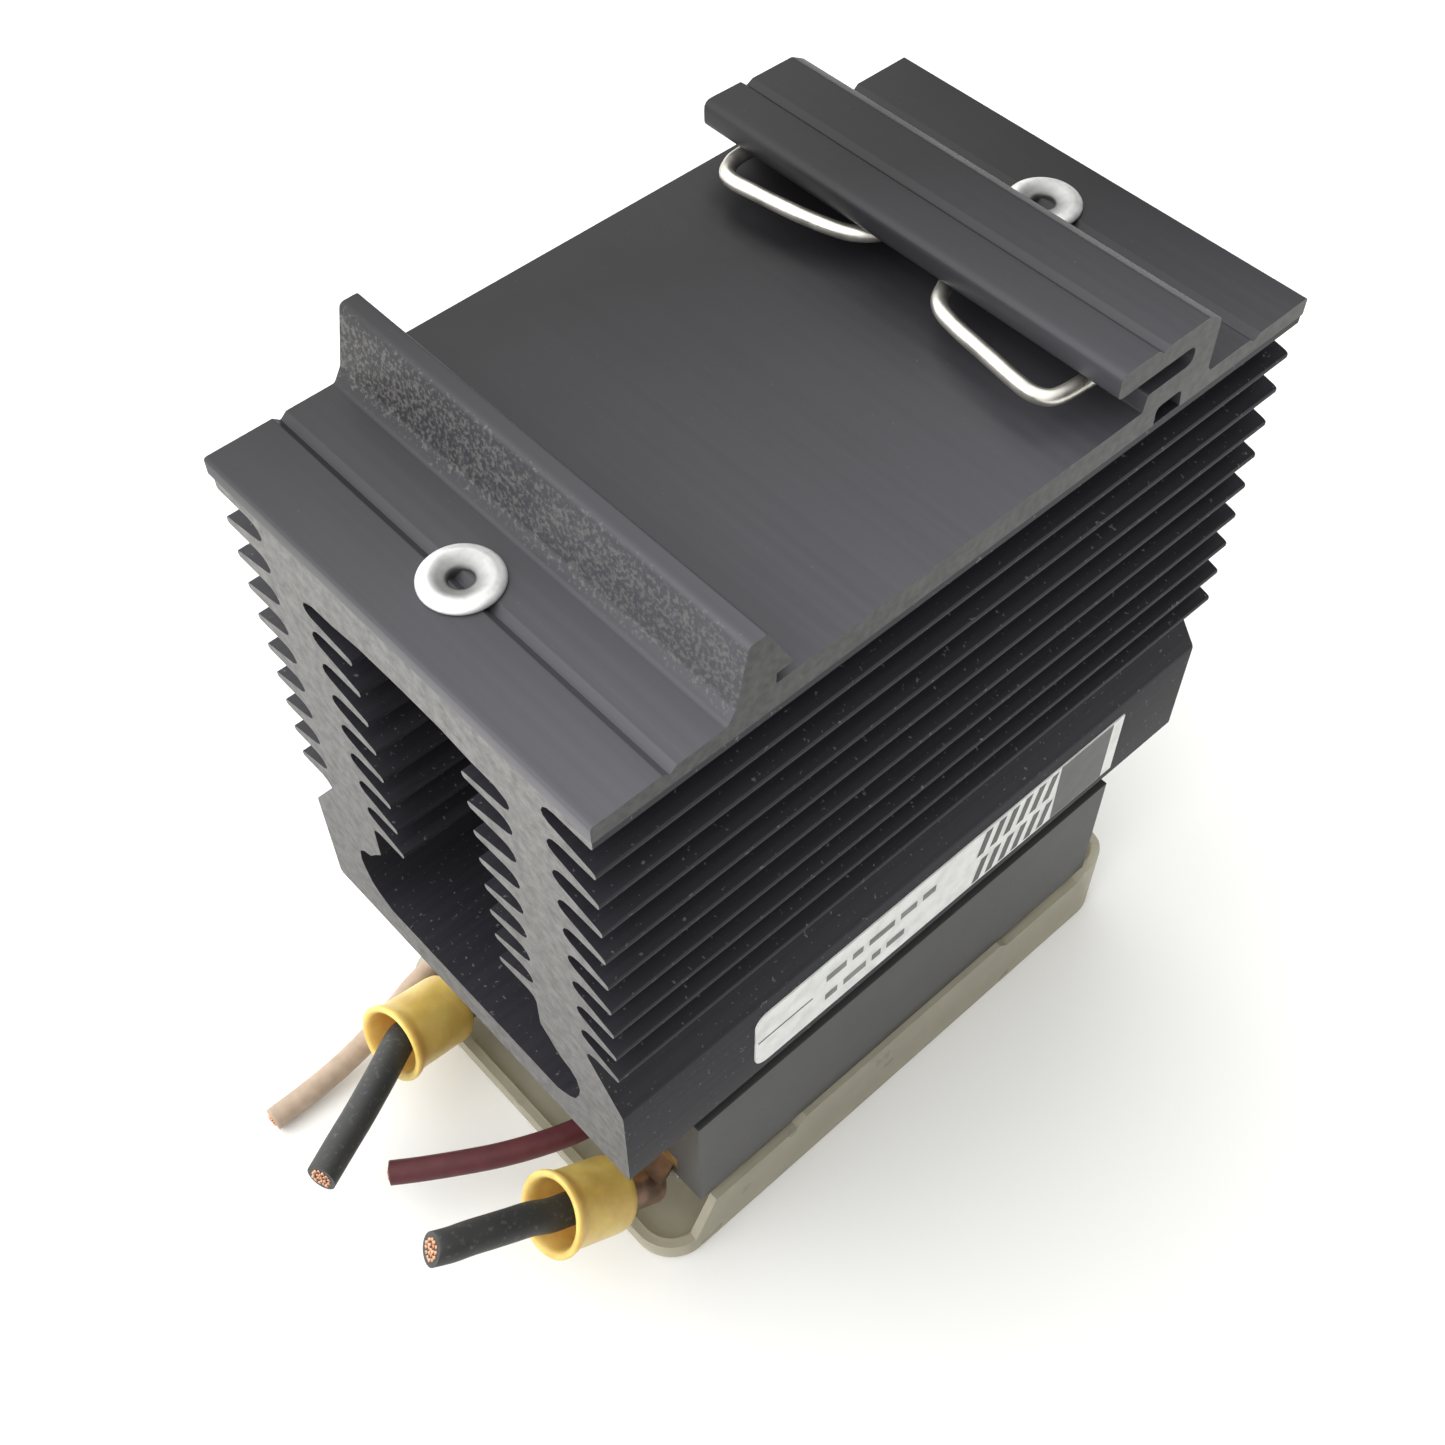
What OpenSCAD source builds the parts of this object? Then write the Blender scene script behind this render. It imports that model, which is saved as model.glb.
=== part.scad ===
// Panel relay on a finned heat sink, with a rail plate on top and a clear terminal cover underneath.
// The part stands on its terminal cover: X across, Y along the wires' direction, Z up.

/* [Heat sink] */
// Width across the fin tips
sink_w = 45; // [43:0.5:54]
// Length of the heat sink and of the rail plate
sink_l = 76.2; // [74:0.2:96]
// Height from the base face to the top face
sink_h = 56.6; // [56:0.2:70]
// Number of fins on each outer side below the top bar
fin_count = 9; // [6:1:9]
// Distance from one fin to the next
fin_pitch = 3.93; // [3.4:0.01:3.95]
// Thickness of a fin at its tip
fin_tip = 0.7; // [0.5:0.1:1.2]
// Height of the base slab's straight sides
base_side_h = 13.2; // [12:0.1:15]
// Thickness of the metal under the tunnel
base_floor = 4.3; // [3.5:0.1:5]
// Thickness of the top bar over the tunnel
top_bar = 4.7; // [3.5:0.1:5.5]

/* [Rail plate] */
// Thickness of the plate's flanges
flange_t = 1.8; // [1.5:0.1:2.6]
// Width of the mounting rail that the plate takes
rail_w = 35; // [34:0.5:42]
// Thickness of the mounting rail's edge, with room to slide
rail_gap = 1.1; // [1:0.05:1.4]
// Height of the channel floor above the flanges
floor_rise = 0.9; // [0.6:0.1:1.2]
// Height of the two hooks above the flanges
hook_h = 7; // [6.5:0.1:8.5]
// Height of the slot that holds the spring
slot_h = 1.9; // [1.8:0.1:2.2]
// Distance of each rivet and score line from the plate's end
rivet_inset = 6.9; // [6:0.1:8]
// Diameter of a rivet's shank
rivet_d = 3.2; // [2.4:0.1:4]
// Diameter of a rivet's head
rivet_head_d = 6.7; // [5:0.1:7.5]
// Diameter of the spring wire
spring_d = 1.4; // [1:0.1:1.5]
// How far the spring can be pushed into its slot
spring_travel = 4; // [2:0.5:4]

/* [Relay] */
// Width of the relay housing
relay_w = 45; // [44:0.5:46]
// Length of the relay housing
relay_l = 58; // [57:0.5:66]
// Height of the relay from its terminal side to its base face
relay_h = 18.1; // [17.5:0.1:22]
// Wall thickness of the relay housing
housing_wall = 1.7; // [1.4:0.1:2.2]
// Offset of the relay along the heat sink
relay_shift = -0.8; // [-2:0.1:0]
// Thickness of the relay's metal base plate
plate_t = 3; // [2.4:0.1:3.4]
// Distance between the two mounting screws
screw_span = 47.6; // [46:0.1:49]
// Diameter of the mounting screws' shanks
mount_d = 4; // [3:0.5:4]
// Distance between the two terminals at one end
terminal_span = 28.2; // [27:0.1:29]
// Distance from the relay's middle to its terminals
terminal_reach = 24.2; // [24:0.1:25]
// Diameter of the load terminal screws
load_screw_d = 4; // [3.5:0.1:4.2]
// Diameter of the control terminal screws
control_screw_d = 3.5; // [3:0.1:3.6]

/* [Wires] */
// Diameter of the black load wires
load_wire_d = 3.4; // [2.8:0.1:3.6]
// Diameter of the red and tan control wires
control_wire_d = 2.6; // [1.8:0.1:2.8]
// Outer diameter of the yellow sleeves
sleeve_d = 8; // [7.6:0.1:8.2]
// Wall thickness of the yellow sleeves
sleeve_wall = 0.6; // [0.5:0.1:0.8]

/* [Terminal cover] */
// Height of the cover's walls beside the middle of the relay
cover_h = 10.2; // [9.8:0.1:12]
// Wall thickness of the cover
cover_wall = 1; // [0.8:0.1:1.2]
// Thickness of the cover's flat face
cover_floor = 1.6; // [1.2:0.1:2]
// How far the cover stands out past each end of the housing
cover_overhang = 5.25; // [5:0.05:5.6]
// Corner radius of the cover
cover_corner = 4.5; // [3:0.5:6]
// Height of the low wall under the load wires
wire_sill = 3; // [2:0.1:3.2]

/* [Hidden] */
$fn = 64;
over = 1;                       // how far a cutting shape runs past the face it cuts
gap = 0.3;                      // running gap between the cover and the housing
fit = 0.05;                     // radial clearance of a shank in its hole
step = 30;                      // angle between the points of a rounded outline

// Heights, from the cover's face up
housing_z = cover_h + gap;
sink_z = housing_z + relay_h;
plate_z = sink_z + sink_h;      // underside of the rail plate
rail_z = plate_z + flange_t;    // top of the rail plate's flanges
pad_t = 0.2;
base_top_z = sink_z - pad_t;
base_low_z = base_top_z - plate_t;
housing_top_z = sink_z - 1.5;   // the base plate shows as a dark gap above the housing
cavity_floor_z = housing_z + 1.5;
contact_z = housing_z - 0.6;    // face that a wire terminal is clamped against
pocket_z = contact_z + 4.6;

// Heat sink profile
tip_x = sink_w / 2;
top_fin_z = sink_h - 0.55;
outer_root_x = tip_x - 5.8;
outer_root_lean = 0.14;         // each lower slot is this much shallower
inner_tip_x = 6.8;
inner_root_x = 12.6;
inner_root_lean = 0.14;
slot_root_share = 0.7;          // a slot's height at its root over its height at the mouth
slot_root_rise = 0.3;
slot_root_r = 1;
land_x = inner_root_x - 1;
cavity_x = land_x + 4.75;

// Rail plate profile
half_l = sink_l / 2;
rivet_y = max(half_l - rivet_inset, rail_w * 0.5 + 8.7 + rivet_head_d / 2);   // clear of the fixed hook
near_stop_y = -rail_w * 0.5 - 4;         // bottom of the fixed hook's groove
lip_y = near_stop_y + rail_w - 0.6;      // edge of the sprung hook's lip
jog_y = lip_y + 4.1;
slot_end_y = jog_y + 5.4;
web_y = slot_end_y + 2.7;
slot_z = 2.6;
score_w = 1.3;
score_depth = 0.55;
rivet_hole_d = rivet_d + 2 * fit;
mandrel_d = 1.9;
spring_z = rail_z + slot_z + slot_h / 2;

// Relay
base_inset = 1.2;
terminal_x = terminal_span / 2;
load_y = relay_shift - terminal_reach;
control_y = relay_shift + terminal_reach;
block_w = 9;
block_l = 8.4;
pocket_in = 4.6 + 2.4;          // from the relay's centre line to a terminal pocket
pocket_out = terminal_x + block_w / 2 + 0.5;
end_zone = relay_l / 2 - 10;    // from the relay's middle to the start of the terminal pockets
notch_w = 11;
skirt_x = relay_w / 2 - 0.6;
skirt_w = 4.4;
skirt_z = cover_h - 3.7;
block_h = pocket_z - contact_z;
ring_t = 1;
fork_t = 0.8;
clamp_t = 0.9;
clamp_w = 9;
control_clamp_w = 7.4;
lead_t = 0.8;
lead_w = 4;
board_z = cavity_floor_z + 4;
board_t = 1.6;
substrate_t = 0.8;
chip_t = 0.5;
chip_w = 8;
led_d = 3;
led_y = relay_shift + 11;
post_x = relay_w / 2 - 2.7;
post_y = 10;
post_d = 2.8;
post_top = skirt_z + 3;

// Wire ends. The ring terminals' barrels are bent up and a little sideways out of the relay.
barrel_r = 2.5;
barrel_l = 6.2;
left_start = [0.6 - terminal_x, load_y - 5.9, contact_z - 3.3];
right_start = [terminal_x + 2, load_y - 6.2, contact_z - 3.2];
left_turn = -5.6;               // towards -X, in degrees
right_turn = 7;
left_rise = 19.5;               // up from level, in degrees
right_rise = 32;
fork_barrel_z = contact_z - fork_t - 1.5;
fork_barrel_r = 1.7;
red_start = [terminal_x, control_y - 10.5, fork_barrel_z - 0.3];
tan_start = [-terminal_x, control_y - 10.5, fork_barrel_z - 0.3];
black_left_bend = [[1.5, -11.1, 3.8], [2.8, -13.7, 3.7], [3.9, -16.2, 3.4], [5, -18.9, 3],
    [6, -21.7, 2.5], [7.4, -25.4, 1.9]];
black_right_bend = [[-1.4, -11.4, 7.2], [-2, -13.3, 8.4], [-2.5, -15.3, 9.3], [-3, -17.2, 10.1],
    [-3.6, -19.1, 10.7], [-4.1, -20.9, 11.2], [-4.8, -22.6, 11.6]];
red_bend = [
    [0, 0, 0], [0, -3.9, -0.1], [-0.2, -7.9, -0.3], [-0.7, -11.9, -0.5], [-1.5, -15.9, -0.7],
    [-2.5, -19.9, -0.8], [-3.6, -23.9, -0.8], [-5, -27.9, -0.7], [-6.1, -31.9, -0.5],
    [-6.5, -35.9, -0.3], [-6.5, -39.9, -0.2], [-6.5, -43.4, -0.2], [-7.2, -46.7, -0.2],
    [-8.5, -50.1, -0.2], [-10.4, -53.9, -0.3], [-12.6, -57.5, -0.4], [-14.9, -60.9, -0.6],
    [-16.7, -63.4, -0.7]];
tan_bend = [
    [0, 0, 0], [0, -3.9, -0.2], [0, -7.9, -0.7], [-0.2, -11.9, -1.3], [-0.6, -15.9, -1.9],
    [-1.2, -19.9, -2.4], [-2.2, -23.9, -2.7], [-3.4, -27.9, -2.8], [-4.6, -31.9, -2.8],
    [-5.4, -35.9, -2.7], [-5.8, -39.9, -2.5], [-5.8, -43.9, -2.3], [-5.4, -47.9, -2.6],
    [-4.8, -51.9, -3.6], [-4.4, -55.9, -4.6], [-4.2, -59.9, -5.3], [-4.2, -63.9, -5.7],
    [-4.3, -68.5, -5.9]];
black_left_route = concat([for (d = [barrel_l, 8.4, 10.4]) left_start + d * arm(left_turn, left_rise)],
    [for (p = black_left_bend) left_start + p]);
black_right_route = concat([for (d = [barrel_l, 8.5, 11]) right_start + d * arm(right_turn, right_rise)],
    [for (p = black_right_bend) right_start + p]);
red_route = [for (p = red_bend) red_start + p];
tan_route = [for (p = tan_bend) tan_start + p];
spring_half = [[0, 4.4], [2.6, 4.1], [4, 2.1], [4.9, 0.1], [7, -1], [14.2, -2.3], [17.2, -2.5],
    [18.8, -1.3], [19, 1.5], [18.9, 4.6]];

function unit(v) = v / norm(v);

// Direction of a barrel that points to -Y, turned towards -X and raised
function arm(turn, rise) = [-sin(turn) * cos(rise), -cos(turn) * cos(rise), sin(rise)];

// A smooth line through hand-chosen points, with n steps between each pair
function blend(a, b, c, d, t) =
    0.5 * (2 * b + (c - a) * t + (2 * a - 5 * b + 4 * c - d) * t * t + (3 * b - a - 3 * c + d) * t * t * t);
function smooth(p, n) = [
    for (i = [0 : len(p) - 2], s = [0 : n - 1])
        blend(p[max(i - 1, 0)], p[i], p[i + 1], p[min(i + 2, len(p) - 1)], s / n),
    p[len(p) - 1]];
function heading(p, i) = unit(p[min(i + 1, len(p) - 1)] - p[max(i - 1, 0)]);
function ring_points(p, i, r, sides) =
    let (t = heading(p, i), side = unit(cross(t, [0, 0, 1])), up = cross(side, t))
    [for (k = [0 : sides - 1]) p[i] + r * (cos(360 * k / sides) * side + sin(360 * k / sides) * up)];

// A round wire swept along a route
module wire(p, d, sides = 8) {
    n = len(p);
    corners = [for (i = [0 : n - 1]) each ring_points(p, i, d / 2, sides)];
    walls = [for (i = [0 : n - 2], k = [0 : sides - 1])
        let (a = i * sides + k, b = i * sides + (k + 1) % sides)
        each [[a, b, a + sides], [b, b + sides, a + sides]]];
    caps = [[for (k = [sides - 1 : -1 : 0]) k], [for (k = [0 : sides - 1]) (n - 1) * sides + k]];
    polyhedron(corners, concat(walls, caps));
}

// A short round bar that carries on from a route's last point
module bar_from_end(p, d, l) {
    t = heading(p, len(p) - 1);
    translate(p[len(p) - 1]) rotate([0, acos(t[2]), atan2(t[1], t[0])]) cylinder(h = l, d = d);
}

module mirrored() {
    children();
    mirror([1, 0, 0]) children();
}

module across(w) {
    rotate([90, 0, 90]) linear_extrude(height = w, center = true) children();
}

module along(l) {
    rotate([90, 0, 0]) linear_extrude(height = l, center = true) children();
}

// One gap between two fins: mouth at xm from z_low to z_high, rounded root at xr
module fin_slot(xm, xr, z_low, z_high) {
    s = sign(xm - xr);
    zc = (z_low + z_high) / 2 + slot_root_rise;
    rh = (z_high - z_low) * slot_root_share / 2;
    arc = [for (a = [90 : -step : -90]) [xr + s * slot_root_r * (1 - cos(a)), zc + rh * sin(a)]];
    polygon(concat([[xm, z_high]], arc, [[xm, z_low]]));
}

module tunnel_half() {
    square_low = base_floor;
    polygon([[0, square_low], [13, square_low], [14.6, square_low + 0.8], [15.8, square_low + 2.6],
        [cavity_x, square_low + 5.1], [15.9, square_low + 7.2], [land_x, base_side_h + 2.2],
        [land_x, sink_h - top_bar - 33], [inner_tip_x, sink_h - top_bar - 33 + 2],
        [inner_tip_x, sink_h - top_bar], [0, sink_h - top_bar]]);
    for (j = [1 : fin_count - 1]) {
        z_high = j == 1 ? sink_h - top_bar : top_fin_z - fin_pitch * j - fin_tip / 2;
        z_low = top_fin_z - fin_pitch * (j + 1) + fin_tip / 2;
        fin_slot(inner_tip_x - over, inner_root_x - inner_root_lean * (j - 1), z_low, z_high);
    }
}

module sink_profile() {
    notch_z = top_fin_z - fin_pitch * fin_count - fin_tip / 2;
    notch_x = outer_root_x + outer_root_lean * fin_count + 0.3;
    difference() {
        translate([-tip_x, 0]) square([sink_w, sink_h]);
        mirrored() {
            tunnel_half();
            for (k = [1 : fin_count])
                fin_slot(tip_x + over, outer_root_x + outer_root_lean * (k - 1),
                    top_fin_z - fin_pitch * k + fin_tip / 2,
                    top_fin_z - fin_pitch * (k - 1) - fin_tip / 2);
            polygon([[tip_x + over, notch_z], [notch_x + 0.9, notch_z - 0.35], [notch_x, notch_z - 1],
                [tip_x, base_side_h], [tip_x + over, base_side_h]]);
        }
    }
}

module heat_sink() {
    color("#2b2b30")
    difference() {
        translate([0, 0, sink_z]) along(sink_l) sink_profile();
        for (s = [-1, 1]) {
            translate([0, s * rivet_y, plate_z - top_bar - over])
                cylinder(h = top_bar + 2 * over, d = rivet_hole_d);
            translate([0, relay_shift + s * screw_span / 2, sink_z - over])
                cylinder(h = base_floor + 2 * over, d = mount_d + 2 * fit);
        }
    }
}

module rail_profile() {
    lip_z = slot_z + slot_h;
    groove_z = floor_rise + rail_gap;
    polygon([
        [-half_l, -flange_t + 0.3], [-half_l + 0.3, -flange_t],
        // hollow under the sprung hook
        [jog_y + 1.8, -flange_t], [jog_y + 2, -0.3], [jog_y + 2.4, 0.2], [slot_end_y - 0.3, 0.2],
        [slot_end_y, -0.2], [slot_end_y + 0.2, -flange_t],
        [half_l - 0.3, -flange_t], [half_l, -flange_t + 0.3], [half_l, -0.4], [half_l - 0.4, 0],
        [rivet_y + score_w / 2, 0], [rivet_y, -score_depth], [rivet_y - score_w / 2, 0],
        // sprung hook: web, top and lip
        [web_y + 0.9, 0], [web_y + 0.2, 0.25], [web_y, 0.9], [web_y, hook_h - 2], [web_y - 0.5, hook_h - 1.1],
        [web_y - 1.5, hook_h - 0.5], [jog_y + 1.8, hook_h - 0.1], [jog_y + 1, hook_h - 0.55],
        [jog_y + 0.2, hook_h], [lip_y + 0.6, hook_h], [lip_y, hook_h - 0.5], [lip_y, lip_z + 0.4],
        [lip_y + 0.4, lip_z],
        [slot_end_y - 0.5, lip_z], [slot_end_y, lip_z - 0.5], [slot_end_y, slot_z + 0.5],
        [slot_end_y - 0.5, slot_z], [jog_y + 0.3, slot_z], [jog_y, slot_z - 0.4], [jog_y - 0.2, floor_rise],
        // channel floor, groove and fixed hook
        [near_stop_y, floor_rise], [near_stop_y, groove_z], [near_stop_y + 1.6, groove_z],
        [near_stop_y + 1.5, groove_z + 0.5], [near_stop_y - 0.4, hook_h - 0.7], [near_stop_y - 0.9, hook_h],
        [near_stop_y - 2.4, hook_h + 0.1], [near_stop_y - 2.9, hook_h - 0.4],
        [near_stop_y - 3.6, 0.9], [near_stop_y - 3.9, 0.25], [near_stop_y - 4.6, 0],
        [-rivet_y + score_w / 2, 0], [-rivet_y, -score_depth], [-rivet_y - score_w / 2, 0],
        [-half_l + 0.4, 0], [-half_l, -0.4]]);
}

module rail_plate() {
    color("#2f2f34")
    difference() {
        translate([-0.25, 0, rail_z]) across(sink_w + 0.5) rail_profile();
        for (s = [-1, 1])
            translate([0, s * rivet_y, plate_z - over]) cylinder(h = flange_t + 2 * over, d = rivet_hole_d);
    }
}

// Blind rivet: dished head on the plate, hollow shank, bulb in the tunnel
module rivets() {
    grip = flange_t + top_bar;
    color("#e8e8e6")
    for (s = [-1, 1])
        translate([0, s * rivet_y, rail_z])
            rotate_extrude() polygon([[mandrel_d / 2, -grip - 2.6], [rivet_d / 2, -grip - 2.6],
                [rivet_d / 2 + 0.7, -grip - 1.9], [rivet_d / 2 + 0.7, -grip - 0.6], [rivet_d / 2, -grip],
                [rivet_d / 2, 0], [rivet_head_d / 2, 0], [rivet_head_d / 2, 0.35],
                [rivet_head_d / 2 - 0.5, 0.7], [rivet_head_d / 2 - 1, 0.8], [mandrel_d / 2 + 0.4, 0.55],
                [mandrel_d / 2, 0.2]]);
}

module rail_spring() {
    right = [for (p = spring_half) [p[0], lip_y + p[1], spring_z]];
    left = [for (i = [len(spring_half) - 1 : -1 : 1])
        [-spring_half[i][0], lip_y + spring_half[i][1], spring_z]];
    color("#c9c6bf") wire(smooth(concat(left, right), 2), spring_d, 10);
}

module plate_outline(inset) {
    w = relay_w - 2 * inset;
    l = relay_l - 2 * inset;
    translate([-w / 2, relay_shift - l / 2]) square([w, l]);
}

module screw_holes(d, z, h) {
    for (s = [-1, 1]) translate([0, relay_shift + s * screw_span / 2, z]) cylinder(h = h, d = d);
}

module thermal_pad() {
    color("#b9bdc2")
    difference() {
        translate([0, 0, base_top_z]) linear_extrude(height = pad_t) plate_outline(base_inset + 0.5);
        screw_holes(mount_d + 0.8, base_top_z - over, pad_t + 2 * over);
    }
}

module base_plate() {
    color("#8d8f92")
    difference() {
        translate([0, 0, base_low_z]) linear_extrude(height = plate_t) plate_outline(base_inset);
        screw_holes(mount_d + 0.6, base_low_z - over, plate_t + 2 * over);
    }
}

module terminal_box(w, l, z, h) {
    for (sx = [-1, 1], y = [load_y, control_y])
        translate([sx * terminal_x - w / 2, y - l / 2, z]) cube([w, l, h]);
}

// The straps that run from a terminal block through the wall into the cavity
module lead_path(sy, w, t, rise) {
    y0 = sy * terminal_reach;
    y1 = sy * (end_zone - housing_wall - 1.6);
    for (sx = [-1, 1])
        translate([sx * terminal_x - w / 2, relay_shift + min(y0, y1), pocket_z]) {
            cube([w, abs(y1 - y0), t]);
            translate([0, sy < 0 ? abs(y1 - y0) - t : 0, 0]) cube([w, t, rise]);
        }
}

module relay_housing() {
    cavity_w = relay_w - 2 * housing_wall;
    cavity_l = 2 * (end_zone - housing_wall);
    pocket_w = pocket_out - pocket_in;
    color("#4a4b4d")
    difference() {
        union() {
            translate([0, 0, housing_z]) linear_extrude(height = housing_top_z - housing_z) plate_outline(0);
            for (s = [-1, 1])
                translate([s * (skirt_x - skirt_w / 2) - skirt_w / 2, relay_shift - 14.8, skirt_z])
                    cube([skirt_w, 29.6, housing_z - skirt_z + over]);
        }
        // seat of the base plate
        translate([0, 0, base_low_z]) linear_extrude(height = plate_t + over) plate_outline(base_inset - 0.1);
        // cavity
        translate([-cavity_w / 2, relay_shift - cavity_l / 2, cavity_floor_z])
            cube([cavity_w, cavity_l, base_low_z - cavity_floor_z + over]);
        for (s = [-1, 1]) {
            // open notch over a mounting screw
            translate([-notch_w / 2, relay_shift + s * (end_zone + 15) - 15, skirt_z])
                cube([notch_w, 30, base_low_z - skirt_z + over]);
            // terminal pockets, open at the end
            for (sx = [-1, 1])
                translate([sx * (pocket_in + pocket_out) / 2 - pocket_w / 2,
                    relay_shift + s * (end_zone + 10) - 10, skirt_z])
                    cube([pocket_w, 20, pocket_z - skirt_z]);
        }
        translate([0, 0, -0.05]) lead_path(-1, lead_w + 0.2, lead_t + 0.1, over);
        translate([0, 0, -0.05]) lead_path(1, lead_w + 0.2, lead_t + 0.1, over);
        translate([0, led_y, housing_z - over]) cylinder(h = 2 * over + 1.5, d = led_d + 0.2);
        for (sx = [-1, 1], sy = [-1, 1])
            translate([sx * post_x, relay_shift + sy * post_y, skirt_z - over])
                cylinder(h = post_top - skirt_z + over + gap, d = post_d + 4 * fit);
    }
    // stand-offs under the circuit board
    color("#4a4b4d")
    for (sx = [-1, 1], sy = [-1, 1])
        translate([sx * 17, relay_shift + sy * 13, cavity_floor_z - 0.5])
            cylinder(h = board_z - cavity_floor_z + 0.5, d = 3);
}

module mounting_washers() {
    color("#b5b7b9")
    for (s = [-1, 1])
        translate([0, relay_shift + s * screw_span / 2, base_low_z - 0.8])
            difference() {
                cylinder(h = 0.8, d = 9);
                translate([0, 0, -over]) cylinder(h = 3 * over, d = mount_d + 0.3);
            }
}

module mounting_screws() {
    head_z = base_low_z - 0.8;
    color("#c4c6c8")
    for (s = [-1, 1])
        translate([0, relay_shift + s * screw_span / 2, 0])
            difference() {
                union() {
                    translate([0, 0, head_z - 2.6]) cylinder(h = 2.6, d = 7.6);
                    translate([0, 0, head_z]) cylinder(h = sink_z + base_floor + 0.3 - head_z, d = mount_d);
                }
                cross_recess(head_z - 2.6, 4.4);
            }
}

// Cross slot cut up into a screw head whose face is at z
module cross_recess(z, l) {
    for (a = [0, 90])
        rotate([0, 0, a]) translate([-l / 2, -0.45, z - over]) cube([l, 0.9, over + 1.3]);
}

module ceramic_substrate() {
    color("#f0efe8")
    translate([-17, relay_shift - 13, base_low_z - substrate_t]) cube([34, 26, substrate_t]);
}

module thyristor_chips() {
    color("#6f7278")
    for (s = [-1, 1])
        translate([s * terminal_x * 0.7 - chip_w / 2, relay_shift - 9.5, base_low_z - substrate_t - chip_t])
            cube([chip_w, chip_w, chip_t]);
}

module circuit_board() {
    color("#2f6b3a")
    translate([-18.5, relay_shift - 11, board_z]) cube([37, 26, board_t]);
}

module opto_coupler() {
    color("#e9e8e2")
    translate([-4.5, relay_shift - 6, board_z + board_t]) cube([9, 6.4, 3.4]);
}

module gate_capacitor() {
    color("#c58a2a")
    translate([-14, relay_shift + 2, board_z + board_t]) cube([7, 3.2, 3.6]);
}

module gate_resistors() {
    color("#c9b48a")
    for (i = [0 : 2])
        translate([4 + 4 * i, relay_shift + 1, board_z + board_t + 1.1])
            rotate([-90, 0, 0]) cylinder(h = 6.3, d = 2.2);
}

module status_led() {
    color("#c0392b")
    translate([0, led_y, 0]) {
        translate([0, 0, housing_z - 0.2]) cylinder(h = board_z - housing_z + 0.2, d = led_d);
        translate([0, 0, board_z - 1.2]) cylinder(h = 1.2, d = led_d + 0.8);
    }
}

module terminal_blocks(y, d) {
    for (s = [-1, 1])
        translate([s * terminal_x, y, contact_z])
            difference() {
                translate([-block_w / 2, -block_l / 2, 0]) cube([block_w, block_l, block_h]);
                translate([0, 0, -over]) cylinder(h = block_h + 2 * over, d = d + 2 * fit);
            }
}

module load_terminals() {
    color("#c9a24a") terminal_blocks(load_y, load_screw_d);
}

module control_terminals() {
    color("#c9a24a") terminal_blocks(control_y, control_screw_d);
}

module load_leads() {
    rise = base_low_z - substrate_t - pocket_z;
    color("#b87333") lead_path(-1, lead_w, lead_t, rise);
}

module control_leads() {
    color("#b87333") lead_path(1, lead_w, lead_t, board_z - pocket_z);
}

// Pan-head terminal screw, head down
module terminal_screw(x, y, d, head_d, z) {
    color("#b9bbbd")
    translate([x, y, 0])
        difference() {
            union() {
                translate([0, 0, z - 2.4]) cylinder(h = 2.4, d = head_d);
                translate([0, 0, z]) cylinder(h = contact_z + block_h - 0.4 - z, d = d);
            }
            cross_recess(z - 2.4, head_d * 0.6);
        }
}

module load_screw_left() { terminal_screw(-terminal_x, load_y, load_screw_d, 7.8, contact_z - ring_t - clamp_t); }
module load_screw_right() { terminal_screw(terminal_x, load_y, load_screw_d, 7.8, contact_z - ring_t - clamp_t); }
module control_screw_left() {
    terminal_screw(-terminal_x, control_y, control_screw_d, 6.6, contact_z - fork_t - clamp_t);
}
module control_screw_right() {
    terminal_screw(terminal_x, control_y, control_screw_d, 6.6, contact_z - fork_t - clamp_t);
}

// Captive square washer that a terminal screw pulls up against the wire terminal
module clamp(x, y, w, d, z) {
    color("#aeb0b2")
    translate([x, y, z - clamp_t])
        difference() {
            translate([-w / 2, -w / 2, 0]) cube([w, w, clamp_t]);
            translate([0, 0, -over]) cylinder(h = clamp_t + 2 * over, d = d + 2 * fit);
        }
}

module load_clamp_left() { clamp(-terminal_x, load_y, clamp_w, load_screw_d, contact_z - ring_t); }
module load_clamp_right() { clamp(terminal_x, load_y, clamp_w, load_screw_d, contact_z - ring_t); }
module control_clamp_left() {
    clamp(-terminal_x, control_y, control_clamp_w, control_screw_d, contact_z - fork_t);
}
module control_clamp_right() {
    clamp(terminal_x, control_y, control_clamp_w, control_screw_d, contact_z - fork_t);
}

// Crimped ring terminal: the ring lies on the contact face, the barrel is bent up and out of the relay
module ring_terminal(x, swing, start, turn, rise) {
    color("#8a5a3c")
    difference() {
        union() {
            translate([x, load_y, contact_z - ring_t]) {
                cylinder(h = ring_t, d = 8.4);
                rotate([0, 0, swing]) translate([-2, -7.4, 0]) cube([4, 4.4, ring_t]);
            }
            translate(start) rotate([90 - rise, 0, -turn]) cylinder(h = barrel_l, r = barrel_r);
        }
        translate([x, load_y, contact_z - ring_t - over])
            cylinder(h = ring_t + 2 * over, d = load_screw_d + 0.4);
        translate(start) rotate([90 - rise, 0, -turn]) translate([0, 0, -over])
            cylinder(h = barrel_l + 2 * over, r = 1.2);
    }
}

module ring_terminal_left() { ring_terminal(-terminal_x, 5.8, left_start, left_turn, left_rise); }
module ring_terminal_right() { ring_terminal(terminal_x, 17.9, right_start, right_turn, right_rise); }

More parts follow.
